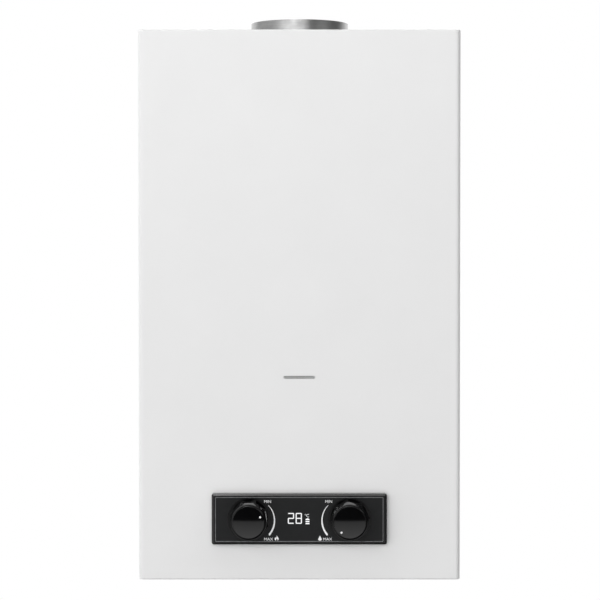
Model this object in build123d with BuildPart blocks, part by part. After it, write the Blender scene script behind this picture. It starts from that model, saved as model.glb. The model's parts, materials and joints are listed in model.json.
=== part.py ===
import os

from build123d import *

os.makedirs("parts", exist_ok=True)

# Lengths are in millimetres and angles in degrees.
# x runs to the right, y runs back to the wall at zero, z runs up.
# The origin lies midway between the two hanging holes, in the wall plane.
# Heights are measured upwards from the lower edge of the case.

# Clearances and angles shared by all pieces
fit_gap = 0.3
running_gap = 0.05
seam_gap = 0.1
overrun = 4.0
quarter_turn = 90.0

# Case and front cover
case_width = 322.0
case_height = 550.0
case_depth = 160.0
cover_sheet = 1.0
cover_side_bend = 4.5
cover_end_bend = 1.6
cover_wall_gap = 2.0
bottom_lip = 12.0
hang_drop = 45.0
vent_length = 44.0
vent_width = 4.0
vent_pitch = 11.0
vent_count = 7
vent_side_room = 55.0
sight_length = 32.0
sight_width = 3.2
sight_height = 203.0

# Perforated plate behind the viewing slot
mesh_sheet = 0.5
mesh_margin = 5.0
mesh_hole_radius = 0.75
mesh_pitch = 2.7
mesh_row_pitch = 1.5
mesh_columns = 11

# Back plate
plate_sheet = 1.2
plate_flange = 18.0
plate_bend = 2.5
hanging_spacing = 200.0
fixing_spacing = 100.0
fixing_height = 90.0
wall_hole_radius = 4.5
bead_length = 320.0
bead_width = 16.0
bead_depth = 3.0
bead_spacing = 40.0
notch_margin = 3.0

# Screws between cover and back plate
screw_radius = 2.0
screw_head_radius = 4.0
screw_head_height = 2.2
screw_head_round = 0.9
screw_length = 7.0
screw_hole_gap = 0.2
screw_setback = 9.0
crown_screw_room = 36.0

# Flue collar
flue_radius = 50.0
flue_sheet = 1.0
flue_rise = 13.5
flue_hole_margin = 4.0
collar_flange = 7.0
stop_bead = 1.4
stop_bead_length = 2.4
stop_bead_lift = 0.2

# Draft hood
hood_sheet = 1.0
hood_headroom = 15.0
hood_taper_rise = 60.0
hood_step = 20.0
hood_inset = 2.0
relief_margin = 25.0
relief_height = 22.0
relief_drop = 24.0

# Combustion chamber
chamber_base = 212.0
chamber_height_share = 0.582
chamber_side_room = 56.0
chamber_end_room = 24.0
chamber_sheet = 1.0
chamber_corner = 6.0
chamber_flange = 8.0

# Heat exchanger
tube_radius = 8.0
tube_margin = 21.0
tube_drop = 28.0
tube_overhang = 13.0
return_overhang = 24.0
return_clear = 0.5
fin_count = 18
fin_sheet = 0.6
fin_height = 44.0
fin_margin = 4.0
fin_hole_sides = 8

# Folded stand-offs between the back plate and what it carries
standoff_crown = 26.0
standoff_foot = 11.0
standoff_height = 28.0
standoff_sheet = 1.2
standoff_inset = 24.0
upper_standoff_drop = 60.0
lower_standoff_lift = 2.0

# Water pipes
pipe_radius = 7.0
pipe_bend = 12.0
pipe_straight = 6.0
riser_radius = 6.0
coil_lift = 34.0
coil_climb_share = 0.0635
cold_cross_height = 118.0
hot_jog_height = 150.0
hot_jog_drop = 40.0

# Burner
blade_pitch = 21.0
blade_height = 44.0
blade_bulb_radius = 6.0
blade_bore_radius = 4.5
blade_bore_length = 30.0
blade_neck = 4.0
blade_head_width = 10.0
blade_head_height = 12.0
blade_head_round = 1.5
port_count = 8
port_width = 1.6
port_depth = 7.0
port_margin = 1.5
frame_base = 150.0
frame_height = 30.0
frame_sheet = 1.2
frame_inset = 3.0
frame_margin = 9.0
frame_lip = 9.0
inlet_radius = 5.5

# Gas manifold and jets
rail_depth = 12.0
rail_height = 14.0
rail_round = 3.0
rail_end = 9.0
lug_length = 10.0
lug_width = 8.0
jet_radius = 3.2
jet_bore_radius = 0.8
jet_length = 6.5
riser_cross_height = 124.0

# Electrodes and their leads
electrode_height = 203.0
spark_x = 40.0
sense_x = 62.0
insulator_radius = 3.5
insulator_back_reach = 22.0
insulator_front_reach = 12.0
insulator_collar_radius = 5.2
insulator_collar_length = 2.8
rod_radius = 1.2
rod_reach = 16.0
rod_drop = 4.0
rod_bend = 3.0
holder_sheet = 1.2
holder_margin = 10.0
holder_foot = 10.0
holder_round = 4.0
lead_radius = 2.0
lead_bend = 5.0
lead_lift = 6.0

# Gas section
valve_offset = 2.0
panel_height = 62.0
knob_spacing = 100.0
gas_barrel_radius = 23.0
gas_barrel_left = 38.0
gas_barrel_right = 30.0
valve_boss_radius = 13.0
valve_boss_reach = 36.0
port_boss_radius = 14.0
outlet_boss_radius = 12.0
outlet_boss_rise = 35.0
cast_edge = 2.0
pad_width = 16.0
pad_length = 10.0
pad_rise = 25.0
solenoid_radius = 15.0
solenoid_length = 20.0
solenoid_edge = 2.0
terminal_width = 6.3
terminal_thick = 0.8
terminal_length = 8.0
terminal_spacing = 12.0

# Water section
disc_radius = 33.0
disc_thick = 6.0
disc_inset = 26.0
membrane_thick = 2.0
dome_radius = 24.0
dome_length = 8.0
water_barrel_radius = 21.0
water_barrel_right = 26.0
disc_screw_count = 6
disc_screw_circle = 28.6
disc_screw_radius = 2.0
disc_screw_head_radius = 3.4
disc_screw_head = 3.0
disc_screw_tail = 2.0
plug_radius = 9.0
plug_length = 9.0
plug_sides = 6

# Push rod, micro switch and lever
rod_guide_radius = 3.0
rod_tail = 24.0
rod_bore_spare = 8.0
rod_collar_radius = 8.0
rod_collar_thick = 2.4
rod_collar_setback = 9.6
switch_length = 20.0
switch_width = 6.4
switch_height = 10.0
switch_round = 0.8
switch_inset = 3.6
ear_drop = 3.0
ear_thick = 0.8
lever_pivot_drop = 1.5
lever_thick = 1.0
lever_length = 9.5
lever_barrel_radius = 1.3
lever_pin_radius = 0.7
saddle_sheet = 1.2

# Spindles
spindle_radius = 4.0
spindle_flat = 1.2
spindle_grip = 14.0
spindle_root = 30.0
hub_gap = 0.08

# Tails and pipe bracket
tail_radius = 10.4775
tail_bore_radius = 7.5
tail_thread = 14.0
tail_drop = 8.0
tail_hex_flats = 26.0
tail_hex = 9.0
tail_neck_radius = 9.5
tail_socket = 9.0
tail_chamfer = 1.0
bracket_sheet = 2.0
bracket_flange = 30.0
bracket_margin = 19.0
hot_side_room = 33.0
window_length = 30.0
window_width = 36.0
window_round = 4.0

# Outlet temperature sensor
clip_height = 9.0
clip_wall = 1.6
clip_rise = 60.0
sensor_radius = 3.2
sensor_length = 14.0

# Round thermostats
stat_radius = 8.0
stat_length = 7.0
stat_cap_radius = 5.5
stat_cap_length = 3.0
stat_terminal = 8.0
overheat_drop = 70.0
draft_stat_x = 45.0
draft_stat_drop = 20.0

# Controller
controller_width = 70.0
controller_depth = 29.0
controller_height = 62.0
controller_side_room = 41.0
controller_base = 80.0
controller_round = 4.0
controller_lid = 3.0
controller_lid_margin = 2.5

# Battery box
cell_radius = 16.8
cell_length = 59.5
cell_nub_radius = 4.8
cell_nub = 2.0
cell_edge = 1.2
box_wall = 1.6
box_round = 4.0
box_side_room = 53.0
box_base = 8.0
door_thick = 2.2
hinge_setback = 6.0
hinge_barrel_radius = 2.6
hinge_pin_radius = 1.3
hinge_ear = 3.0
tab_width = 18.0
tab_drop = 4.0
tab_thick = 2.0

# Control panel
bezel_width = 174.8
bezel_height = 50.7
bezel_proud = 9.0
bezel_corner = 2.0
bezel_bevel = 1.8
bezel_side_border = 2.9
bezel_end_border = 2.7
fascia_thick = 2.0
fascia_sink = 0.3
fascia_corner = 1.2
pod_width = 160.0
pod_height = 40.0
pod_depth = 14.0
pod_wall = 2.0
pod_round = 3.0
panel_hole_radius = 7.0
screen_width = 42.0
screen_height = 20.0
board_width = 78.0
board_height = 33.0
board_thick = 1.6
board_gap = 4.0
board_post_radius = 2.5
board_post_inset = 3.5
lid_thick = 1.5

# Knobs
knob_radius = 21.3
knob_skirt = 2.2
knob_shoulder_radius = 20.4
knob_crown_radius = 17.8
knob_face_radius = 15.5
knob_rim = 2.0
knob_rim_round = 2.4
knob_length = 23.3
knob_lift = 0.5
knob_dome = 0.6
knob_wall = 2.4
knob_hub_radius = 6.6
scoop_count = 8
scoop_radius = 16.0
scoop_depth = 2.8
scoop_lift = 5.0
dot_radius = 1.2
dot_depth = 0.4
dot_circle = 12.8
gas_dot_angle = 24.8
water_dot_angle = 229.6

# Levels and planes worked out from the sizes above
base = hang_drop - case_height
crown = base + case_height
front = -case_depth
inner_front = front + cover_sheet
flue_setback = case_depth / 2
valve_setback = case_depth / 2 + valve_offset
flue_y = -flue_setback
valve_y = -valve_setback
valve_z = base + panel_height
gas_x = -knob_spacing / 2
water_x = knob_spacing / 2
hot_x = case_width / 2 - hot_side_room
controller_x = case_width / 2 - controller_side_room
box_x = case_width / 2 - box_side_room
vent_offset = case_width / 2 - vent_side_room
sight_z = base + sight_height
hood_top = crown - hood_headroom
chamber_z = base + chamber_base
chamber_height = chamber_height_share * (hood_top - chamber_z)
chamber_width = case_width - 2 * chamber_side_room
chamber_depth = case_depth - 2 * chamber_end_room
chamber_bore_width = chamber_width - 2 * chamber_sheet
chamber_bore_depth = chamber_depth - 2 * chamber_sheet
chamber_top = chamber_z + chamber_height
tube_z = chamber_top - tube_drop
tube_pitch = (chamber_bore_depth - 2 * tube_margin) / 2
return_round = tube_pitch / 2 - return_clear
frame_z = base + frame_base
frame_depth = chamber_depth - 2 * frame_inset
blade_room = chamber_width - 2 * frame_margin - blade_head_width
blade_count = int(blade_room / blade_pitch) + 1
frame_front = flue_y - frame_depth / 2
frame_back = flue_y + frame_depth / 2
low_align = (Align.CENTER, Align.CENTER, Align.MIN)
high_align = (Align.CENTER, Align.CENTER, Align.MAX)


def write_piece(piece, name):
    piece.part.label = name
    export_step(piece.part, f"parts/{name}.step")


def bar_x(radius, start, end, y, z, mode=Mode.ADD):
    with Locations(((start + end) / 2, y, z)):
        Cylinder(radius, end - start, rotation=(0, quarter_turn, 0), mode=mode)


def bar_y(radius, start, end, x, z, mode=Mode.ADD):
    with Locations((x, (start + end) / 2, z)):
        Cylinder(radius, end - start, rotation=(quarter_turn, 0, 0), mode=mode)


def bar_z(radius, start, end, x, y, mode=Mode.ADD):
    with Locations((x, y, (start + end) / 2)):
        Cylinder(radius, end - start, mode=mode)


def block(low, high, mode=Mode.ADD):
    sizes = [b - a for a, b in zip(low, high)]
    middle = tuple((a + b) / 2 for a, b in zip(low, high))
    with Locations(middle):
        Box(*sizes, mode=mode)


def tube(route, radius, bend):
    with BuildLine() as path:
        FilletPolyline(*route, radius=bend)
    with BuildSketch(Plane(origin=path.line @ 0, z_dir=path.line % 0)) as section:
        Circle(radius)
    sweep(sections=section.sketch, path=path.line)


# Front cover: a deep tray of sheet steel, open at the back and over the pipe bay
flue_hole_radius = flue_radius + flue_hole_margin
lip_screw_x = case_width / 2 - bottom_lip / 2
crown_screw_x = case_width / 2 - crown_screw_room
screw_hole_radius = screw_radius + screw_hole_gap
pod_window_width = pod_width + 2 * fit_gap
pod_window_height = pod_height + 2 * fit_gap

with BuildPart() as front_cover:
    with BuildSketch(Plane.XY.offset(base)) as cover_plan:
        with Locations((0, (front - cover_wall_gap) / 2)):
            Rectangle(case_width, case_depth - cover_wall_gap)
        fillet(cover_plan.vertices().group_by(Axis.Y)[0], cover_side_bend)
    extrude(amount=case_height)
    front_face = front_cover.faces().sort_by(Axis.Y)[0]
    fillet(front_face.edges().filter_by(Axis.X), cover_end_bend)
    rear_face = front_cover.faces().sort_by(Axis.Y)[-1]
    offset(amount=-cover_sheet, openings=rear_face)
    with BuildSketch(Plane.XY.offset(base)):
        with Locations((0, (front + bottom_lip) / 2)):
            Rectangle(case_width - 2 * bottom_lip, case_depth - bottom_lip)
        with Locations((-lip_screw_x, -screw_setback), (lip_screw_x, -screw_setback)):
            Circle(screw_hole_radius)
    extrude(amount=overrun, both=True, mode=Mode.SUBTRACT)
    with BuildSketch(Plane.XY.offset(crown)):
        with Locations((0, flue_y)):
            Circle(flue_hole_radius)
        with Locations((-vent_offset, flue_y), (vent_offset, flue_y)):
            with GridLocations(0, vent_pitch, 1, vent_count):
                SlotOverall(vent_length, vent_width)
        with Locations((-crown_screw_x, -screw_setback), (crown_screw_x, -screw_setback)):
            Circle(screw_hole_radius)
    extrude(amount=-overrun, mode=Mode.SUBTRACT)
    with BuildSketch(Plane.XZ.offset(case_depth)):
        with Locations((0, valve_z)):
            RectangleRounded(pod_window_width, pod_window_height, pod_round)
        with Locations((0, sight_z)):
            SlotOverall(sight_length, sight_width)
    extrude(amount=-overrun, mode=Mode.SUBTRACT)
write_piece(front_cover, "front_cover")

# Perforated plate spot-welded behind the viewing slot
with BuildPart() as viewing_mesh:
    with BuildSketch(Plane.XZ.offset(-inner_front)):
        with Locations((0, sight_z)):
            RectangleRounded(sight_length + 2 * mesh_margin, sight_width + 2 * mesh_margin, mesh_margin)
        with Locations((-mesh_pitch / 4, sight_z + mesh_row_pitch / 2)):
            with GridLocations(mesh_pitch, 0, mesh_columns, 1):
                RegularPolygon(mesh_hole_radius, 6, mode=Mode.SUBTRACT)
        with Locations((mesh_pitch / 4, sight_z - mesh_row_pitch / 2)):
            with GridLocations(mesh_pitch, 0, mesh_columns, 1):
                RegularPolygon(mesh_hole_radius, 6, mode=Mode.SUBTRACT)
    extrude(amount=-mesh_sheet)
write_piece(viewing_mesh, "viewing_mesh")

# Back plate: a shallow tray with stiffening beads and wall holes
plate_width = case_width - 2 * cover_sheet - 2 * fit_gap
plate_height = case_height - 2 * cover_sheet - 2 * fit_gap
plate_base = base + cover_sheet + fit_gap
plate_middle = plate_base + plate_height / 2
groove_length = bead_length - 2 * plate_sheet
groove_width = bead_width - 2 * plate_sheet
fixing_z = base + fixing_height
box_width = 4 * cell_radius + 3 * fit_gap + 2 * box_wall
notch_width = box_width + 2 * notch_margin

with BuildPart() as back_plate:
    with BuildSketch(Plane.XY.offset(plate_base)) as plate_plan:
        with Locations((0, -plate_flange / 2)):
            Rectangle(plate_width, plate_flange)
        fillet(plate_plan.vertices().group_by(Axis.Y)[-1], plate_bend)
    extrude(amount=plate_height)
    wall_side = back_plate.faces().sort_by(Axis.Y)[-1]
    fillet(wall_side.edges().filter_by(Axis.X), plate_bend)
    room_side = back_plate.faces().sort_by(Axis.Y)[0]
    offset(amount=-plate_sheet, openings=room_side)
    with BuildSketch(Plane.XZ.offset(plate_sheet)):
        with Locations((0, plate_middle)):
            with GridLocations(bead_spacing, 0, 2, 1):
                SlotOverall(bead_length, bead_width, rotation=quarter_turn)
    extrude(amount=bead_depth)
    with BuildSketch(Plane.XZ):
        with Locations((0, plate_middle)):
            with GridLocations(bead_spacing, 0, 2, 1):
                SlotOverall(groove_length, groove_width, rotation=quarter_turn)
    extrude(amount=bead_depth, mode=Mode.SUBTRACT)
    with BuildSketch(Plane.XZ):
        with GridLocations(hanging_spacing, 0, 2, 1):
            Circle(wall_hole_radius)
        with Locations((0, fixing_z)):
            with GridLocations(fixing_spacing, 0, 2, 1):
                Circle(wall_hole_radius)
    extrude(amount=overrun, mode=Mode.SUBTRACT)
    with BuildSketch(Plane.XY.offset(plate_base)):
        with Locations((box_x, -plate_bend - plate_flange / 2)):
            Rectangle(notch_width, plate_flange)
        with Locations((-lip_screw_x, -screw_setback), (lip_screw_x, -screw_setback)):
            Circle(screw_hole_radius)
    extrude(amount=overrun, both=True, mode=Mode.SUBTRACT)
    with BuildSketch(Plane.XY.offset(plate_base + plate_height)):
        with Locations((-crown_screw_x, -screw_setback), (crown_screw_x, -screw_setback)):
            Circle(screw_hole_radius)
    extrude(amount=-overrun, mode=Mode.SUBTRACT)
write_piece(back_plate, "back_plate")

# Four screws hold the cover: two down through the top, two up through the bottom lips
with BuildPart() as cover_screws:
    with Locations((-crown_screw_x, -screw_setback, crown), (crown_screw_x, -screw_setback, crown)):
        Cylinder(screw_head_radius, screw_head_height, align=low_align)
        Cylinder(screw_radius, screw_length, align=high_align)
    with Locations((-lip_screw_x, -screw_setback, base), (lip_screw_x, -screw_setback, base)):
        Cylinder(screw_head_radius, screw_head_height, align=high_align)
        Cylinder(screw_radius, screw_length, align=low_align)
    head_rims = cover_screws.edges().filter_by(GeomType.CIRCLE).group_by(Axis.Z)
    fillet(head_rims[-1] + head_rims[0], screw_head_round)
write_piece(cover_screws, "cover_screws")

# Flue collar: a rolled spigot with a foot flange and a stop bead at the case top
bead_z = crown + stop_bead_lift
rim_z = crown + flue_rise

with BuildPart() as flue_collar:
    with BuildSketch(Plane.XZ.offset(flue_setback)):
        with BuildLine():
            Polyline(
                (flue_radius - flue_sheet, hood_top),
                (flue_radius + collar_flange, hood_top),
                (flue_radius + collar_flange, hood_top + flue_sheet),
                (flue_radius, hood_top + flue_sheet),
                (flue_radius, bead_z),
                (flue_radius + stop_bead, bead_z + stop_bead_length / 2),
                (flue_radius, bead_z + stop_bead_length),
                (flue_radius, rim_z),
                (flue_radius - flue_sheet, rim_z),
                close=True,
            )
        make_face()
    revolve(axis=Axis((0, flue_y, 0), (0, 0, 1)))
write_piece(flue_collar, "flue_collar")

# Draft hood: a tapered box with a flue hole on top and a relief slot at the rear
hood_waist = chamber_top + hood_taper_rise
hood_width = chamber_width - 2 * hood_step
hood_depth = chamber_depth - 2 * hood_inset
relief_width = hood_width - 2 * relief_margin
flange_width = chamber_width + 2 * chamber_flange
flange_depth = chamber_depth + 2 * chamber_flange
hood_front = flue_y - hood_depth / 2
hood_back = flue_y + hood_depth / 2

with BuildPart() as draft_hood:
    with BuildSketch(Plane.XY.offset(chamber_top)):
        with Locations((0, flue_y)):
            Rectangle(chamber_width, chamber_depth)
    with BuildSketch(Plane.XY.offset(hood_waist)) as hood_neck:
        with Locations((0, flue_y)):
            Rectangle(hood_width, hood_depth)
    loft(ruled=True)
    extrude(hood_neck.sketch, amount=hood_top - hood_waist)
    offset(amount=-hood_sheet, openings=draft_hood.faces().sort_by(Axis.Z)[0])
    with BuildSketch(Plane.XY.offset(chamber_top)):
        with Locations((0, flue_y)):
            RectangleRounded(flange_width, flange_depth, chamber_corner)
            Rectangle(chamber_bore_width, chamber_bore_depth, mode=Mode.SUBTRACT)
    extrude(amount=hood_sheet)
    with BuildSketch(Plane.XY.offset(hood_top)):
        with Locations((0, flue_y)):
            Circle(flue_radius - flue_sheet)
    extrude(amount=-overrun, mode=Mode.SUBTRACT)
    with BuildSketch(Plane.XZ.offset(-hood_back)):
        with Locations((0, hood_top - relief_drop)):
            Rectangle(relief_width, relief_height)
    extrude(amount=overrun, mode=Mode.SUBTRACT)
write_piece(draft_hood, "draft_hood")

# Combustion chamber: a rounded copper sleeve with a top flange and tube holes
chamber_front = flue_y - chamber_depth / 2
chamber_back = flue_y + chamber_depth / 2
tube_hole_radius = tube_radius + seam_gap

with BuildPart() as combustion_chamber:
    with BuildSketch(Plane.XY.offset(chamber_z)):
        with Locations((0, flue_y)):
            RectangleRounded(chamber_width, chamber_depth, chamber_corner)
            RectangleRounded(
                chamber_bore_width, chamber_bore_depth, chamber_corner - chamber_sheet, mode=Mode.SUBTRACT
            )
    extrude(amount=chamber_height)
    with BuildSketch(Plane.XY.offset(chamber_top)):
        with Locations((0, flue_y)):
            RectangleRounded(flange_width, flange_depth, chamber_corner)
            RectangleRounded(
                chamber_bore_width, chamber_bore_depth, chamber_corner - chamber_sheet, mode=Mode.SUBTRACT
            )
    extrude(amount=-chamber_sheet)
    with BuildSketch(Plane.YZ):
        with Locations((flue_y, tube_z)):
            with GridLocations(tube_pitch, 0, 3, 1):
                Circle(tube_hole_radius)
    extrude(amount=chamber_width, both=True, mode=Mode.SUBTRACT)
write_piece(combustion_chamber, "combustion_chamber")

# Exchanger tubes: one serpentine of three passes
tube_end_x = chamber_width / 2 + tube_overhang
return_x = chamber_width / 2 + return_overhang
front_tube_y = flue_y - tube_pitch
rear_tube_y = flue_y + tube_pitch
serpentine = [
    (tube_end_x, front_tube_y, tube_z),
    (-return_x, front_tube_y, tube_z),
    (-return_x, flue_y, tube_z),
    (return_x, flue_y, tube_z),
    (return_x, rear_tube_y, tube_z),
    (-tube_end_x, rear_tube_y, tube_z),
]

with BuildPart() as exchanger_tubes:
    tube(serpentine, tube_radius, return_round)
write_piece(exchanger_tubes, "exchanger_tubes")

# Exchanger fins: punched plates threaded on the tubes
fin_depth = chamber_bore_depth - 2 * fit_gap
fin_span = chamber_bore_width - 2 * fin_margin
fin_pitch = fin_span / (fin_count - 1)

with BuildPart() as exchanger_fins:
    for fin_index in range(fin_count):
        fin_x = fin_index * fin_pitch - fin_span / 2 - fin_sheet / 2
        with BuildSketch(Plane.YZ.offset(fin_x)):
            with Locations((flue_y, tube_z)):
                RectangleRounded(fin_depth, fin_height, chamber_corner)
                with GridLocations(tube_pitch, 0, 3, 1):
                    RegularPolygon(tube_hole_radius, fin_hole_sides, major_radius=False, mode=Mode.SUBTRACT)
        extrude(amount=fin_sheet)
write_piece(exchanger_fins, "exchanger_fins")


def standoff(x, z, reach):
    # A folded top-hat strip: two feet on the back plate, a crown against the carried piece
    back = -plate_sheet
    with BuildSketch(Plane.XY.offset(z)) as strip:
        with Locations((x, back - reach / 2)):
            Rectangle(standoff_crown, reach)
        with Locations((x, back - (reach - standoff_sheet) / 2)):
            Rectangle(standoff_crown - 2 * standoff_sheet, reach - standoff_sheet, mode=Mode.SUBTRACT)
        with Locations((x, back - standoff_sheet / 2)):
            with GridLocations(standoff_crown + standoff_foot, 0, 2, 1):
                Rectangle(standoff_foot, standoff_sheet)
    extrude(strip.sketch, amount=standoff_height)


# Stand-offs that carry the combustion chamber
standoff_x = chamber_width / 2 - standoff_inset
chamber_reach = -chamber_back - plate_sheet

with BuildPart() as chamber_brackets:
    for side in (-standoff_x, standoff_x):
        standoff(side, chamber_z + lower_standoff_lift, chamber_reach)
        standoff(side, chamber_top - upper_standoff_drop, chamber_reach)
write_piece(chamber_brackets, "chamber_brackets")

# Stand-offs that carry the burner
frame_reach = -frame_back - plate_sheet
burner_standoff_z = frame_z + (frame_height - standoff_height) / 2

with BuildPart() as burner_brackets:
    for side in (-standoff_x, standoff_x):
        standoff(side, burner_standoff_z, frame_reach)
write_piece(burner_brackets, "burner_brackets")

# Burner frame: a ring of sheet steel with lips under the blade ends and one inlet per blade
frame_width = (blade_count - 1) * blade_pitch + blade_head_width + 2 * frame_margin
frame_bore_width = frame_width - 2 * frame_sheet
frame_bore_depth = frame_depth - 2 * frame_sheet
blade_z = frame_z + frame_sheet + fit_gap
inlet_z = blade_z + blade_bulb_radius

with BuildPart() as burner_frame:
    with BuildSketch(Plane.XY.offset(frame_z)):
        with Locations((0, flue_y)):
            Rectangle(frame_width, frame_depth)
            Rectangle(frame_bore_width, frame_bore_depth, mode=Mode.SUBTRACT)
    extrude(amount=frame_height)
    with BuildSketch(Plane.XY.offset(frame_z)):
        with Locations((0, flue_y)):
            Rectangle(frame_width, frame_depth)
            Rectangle(frame_bore_width, frame_depth - 2 * frame_lip, mode=Mode.SUBTRACT)
    extrude(amount=frame_sheet)
    with BuildSketch(Plane.XZ.offset(-frame_front)):
        with Locations((0, inlet_z)):
            with GridLocations(blade_pitch, 0, blade_count, 1):
                Circle(inlet_radius)
    extrude(amount=-overrun, mode=Mode.SUBTRACT)
write_piece(burner_frame, "burner_frame")

# Burner blades: pressed gas passages with a mixing bulb below and slotted ports on top
blade_length = frame_bore_depth - 2 * fit_gap
blade_front = flue_y - blade_length / 2
blade_top = blade_z + blade_height
port_pitch = blade_length / (port_count + 1)
port_length = blade_head_width - 2 * port_margin

with BuildPart() as burner_blades:
    with BuildSketch(Plane.XZ.offset(-blade_front)):
        with GridLocations(blade_pitch, 0, blade_count, 1):
            with Locations((0, inlet_z)):
                Circle(blade_bulb_radius)
            with Locations((0, (inlet_z + blade_top) / 2)):
                Rectangle(blade_neck, blade_top - inlet_z)
            with Locations((0, blade_top - blade_head_height / 2)):
                RectangleRounded(blade_head_width, blade_head_height, blade_head_round)
    extrude(amount=-blade_length)
    with BuildSketch(Plane.XZ.offset(-blade_front)):
        with Locations((0, inlet_z)):
            with GridLocations(blade_pitch, 0, blade_count, 1):
                Circle(blade_bore_radius)
    extrude(amount=-blade_bore_length, mode=Mode.SUBTRACT)
    with BuildSketch(Plane.XY.offset(blade_top)):
        with Locations((0, flue_y)):
            with GridLocations(blade_pitch, port_pitch, blade_count, port_count):
                Rectangle(port_length, port_width)
    extrude(amount=-port_depth, mode=Mode.SUBTRACT)
write_piece(burner_blades, "burner_blades")

# Gas manifold: a cast rail with two lugs against the burner frame
rail_back = frame_front - lug_length
rail_front = rail_back - rail_depth
rail_length = (blade_count - 1) * blade_pitch + 2 * rail_end
rail_z = inlet_z - rail_height / 2
lug_x = rail_length / 2 - lug_width / 2

with BuildPart() as gas_manifold:
    with BuildSketch(Plane.XZ.offset(-rail_back)):
        with Locations((0, inlet_z)):
            RectangleRounded(rail_length, rail_height, rail_round)
    extrude(amount=rail_depth)
    fillet(gas_manifold.faces().sort_by(Axis.Y)[0].edges(), rail_round)
    with BuildSketch(Plane.XZ.offset(-rail_back)):
        with Locations((0, inlet_z - rail_height / 2 - lug_width / 2)):
            with GridLocations(2 * lug_x, 0, 2, 1):
                Rectangle(lug_width, lug_width + 2 * rail_round)
    extrude(amount=-lug_length)
    with BuildSketch(Plane.XZ.offset(-rail_back)):
        with Locations((0, inlet_z)):
            with GridLocations(blade_pitch, 0, blade_count, 1):
                Circle(jet_bore_radius)
    extrude(amount=-rail_depth / 2, mode=Mode.SUBTRACT)
write_piece(gas_manifold, "gas_manifold")

# Gas jets: one brass nozzle per blade, screwed into the rail
with BuildPart() as gas_jets:
    with BuildSketch(Plane.XZ.offset(-rail_back)):
        with Locations((0, inlet_z)):
            with GridLocations(blade_pitch, 0, blade_count, 1):
                RegularPolygon(jet_radius, 6)
                Circle(jet_bore_radius, mode=Mode.SUBTRACT)
    extrude(amount=-jet_length)
write_piece(gas_jets, "gas_jets")

# Gas section: a cast body with inlet, outlet and spindle bosses
gas_left = gas_x - gas_barrel_left
gas_right = gas_x + gas_barrel_right
boss_front = valve_y - valve_boss_reach
bracket_z = base - tail_drop + tail_thread + tail_hex
bracket_top = bracket_z + bracket_sheet
outlet_top = valve_z + outlet_boss_rise
tail_socket_radius = tail_neck_radius + seam_gap
spindle_end = valve_y - valve_boss_reach + spindle_root
rod_left = gas_right - rod_tail
pad_top = valve_z + pad_rise
spindle_bore_radius = spindle_radius + running_gap
rod_bore_radius = rod_guide_radius + running_gap
socket_top = bracket_top + tail_socket

with BuildPart() as gas_valve_body:
    bar_x(gas_barrel_radius, gas_left, gas_right, valve_y, valve_z)
    chamfer(gas_valve_body.edges().filter_by(GeomType.CIRCLE), cast_edge)
    bar_y(valve_boss_radius, boss_front, valve_y, gas_x, valve_z)
    bar_z(port_boss_radius, bracket_top, valve_z, gas_x, valve_y)
    bar_z(outlet_boss_radius, valve_z, outlet_top, gas_x, valve_y)
    block(
        (gas_right - pad_length, valve_y - pad_width / 2, valve_z),
        (gas_right, valve_y + pad_width / 2, pad_top),
    )
    bar_y(spindle_bore_radius, boss_front - overrun, spindle_end, gas_x, valve_z, Mode.SUBTRACT)
    bar_x(rod_bore_radius, rod_left - rod_bore_spare, gas_right + overrun, valve_y, valve_z, Mode.SUBTRACT)
    bar_z(tail_socket_radius, bracket_top - overrun, socket_top, gas_x, valve_y, Mode.SUBTRACT)
write_piece(gas_valve_body, "gas_valve_body")

# Gas solenoid: the safety magnet on the closed end of the gas section
with BuildPart() as gas_solenoid:
    bar_x(solenoid_radius, gas_left - solenoid_length, gas_left, valve_y, valve_z)
    chamfer(gas_solenoid.faces().sort_by(Axis.X)[0].edges(), solenoid_edge)
    with BuildSketch(Plane.YZ.offset(gas_left - solenoid_length)):
        with Locations((valve_y, valve_z)):
            with GridLocations(terminal_spacing, 0, 2, 1):
                Rectangle(terminal_thick, terminal_width)
    extrude(amount=-terminal_length)
write_piece(gas_solenoid, "gas_solenoid")

# Water section: cast body, membrane and domed cover held by screws
disc_face = water_x - disc_inset
cover_face = disc_face - membrane_thick
cover_left = cover_face - disc_thick
dome_left = cover_left - dome_length
water_right = water_x + water_barrel_right

with BuildPart() as water_valve_body:
    bar_x(disc_radius, disc_face, disc_face + disc_thick, valve_y, valve_z)
    bar_x(water_barrel_radius, disc_face + disc_thick, water_right, valve_y, valve_z)
    chamfer(water_valve_body.faces().sort_by(Axis.X)[-1].edges(), cast_edge)
    bar_y(valve_boss_radius, boss_front, valve_y, water_x, valve_z)
    bar_z(port_boss_radius, bracket_top, valve_z, water_x, valve_y)
    bar_z(outlet_boss_radius, valve_z, outlet_top, water_x, valve_y)
    bar_y(spindle_bore_radius, boss_front - overrun, spindle_end, water_x, valve_z, Mode.SUBTRACT)
    bar_z(tail_socket_radius, bracket_top - overrun, socket_top, water_x, valve_y, Mode.SUBTRACT)
    with BuildSketch(Plane.YZ.offset(disc_face)):
        with Locations((valve_y, valve_z)):
            with PolarLocations(disc_screw_circle, disc_screw_count):
                Circle(disc_screw_radius + seam_gap)
    extrude(amount=disc_thick, mode=Mode.SUBTRACT)
write_piece(water_valve_body, "water_valve_body")

with BuildPart() as diaphragm:
    with BuildSketch(Plane.YZ.offset(cover_face)):
        with Locations((valve_y, valve_z)):
            Circle(disc_radius)
            with PolarLocations(disc_screw_circle, disc_screw_count):
                Circle(disc_screw_radius + seam_gap, mode=Mode.SUBTRACT)
    extrude(amount=membrane_thick)
write_piece(diaphragm, "diaphragm")

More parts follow.
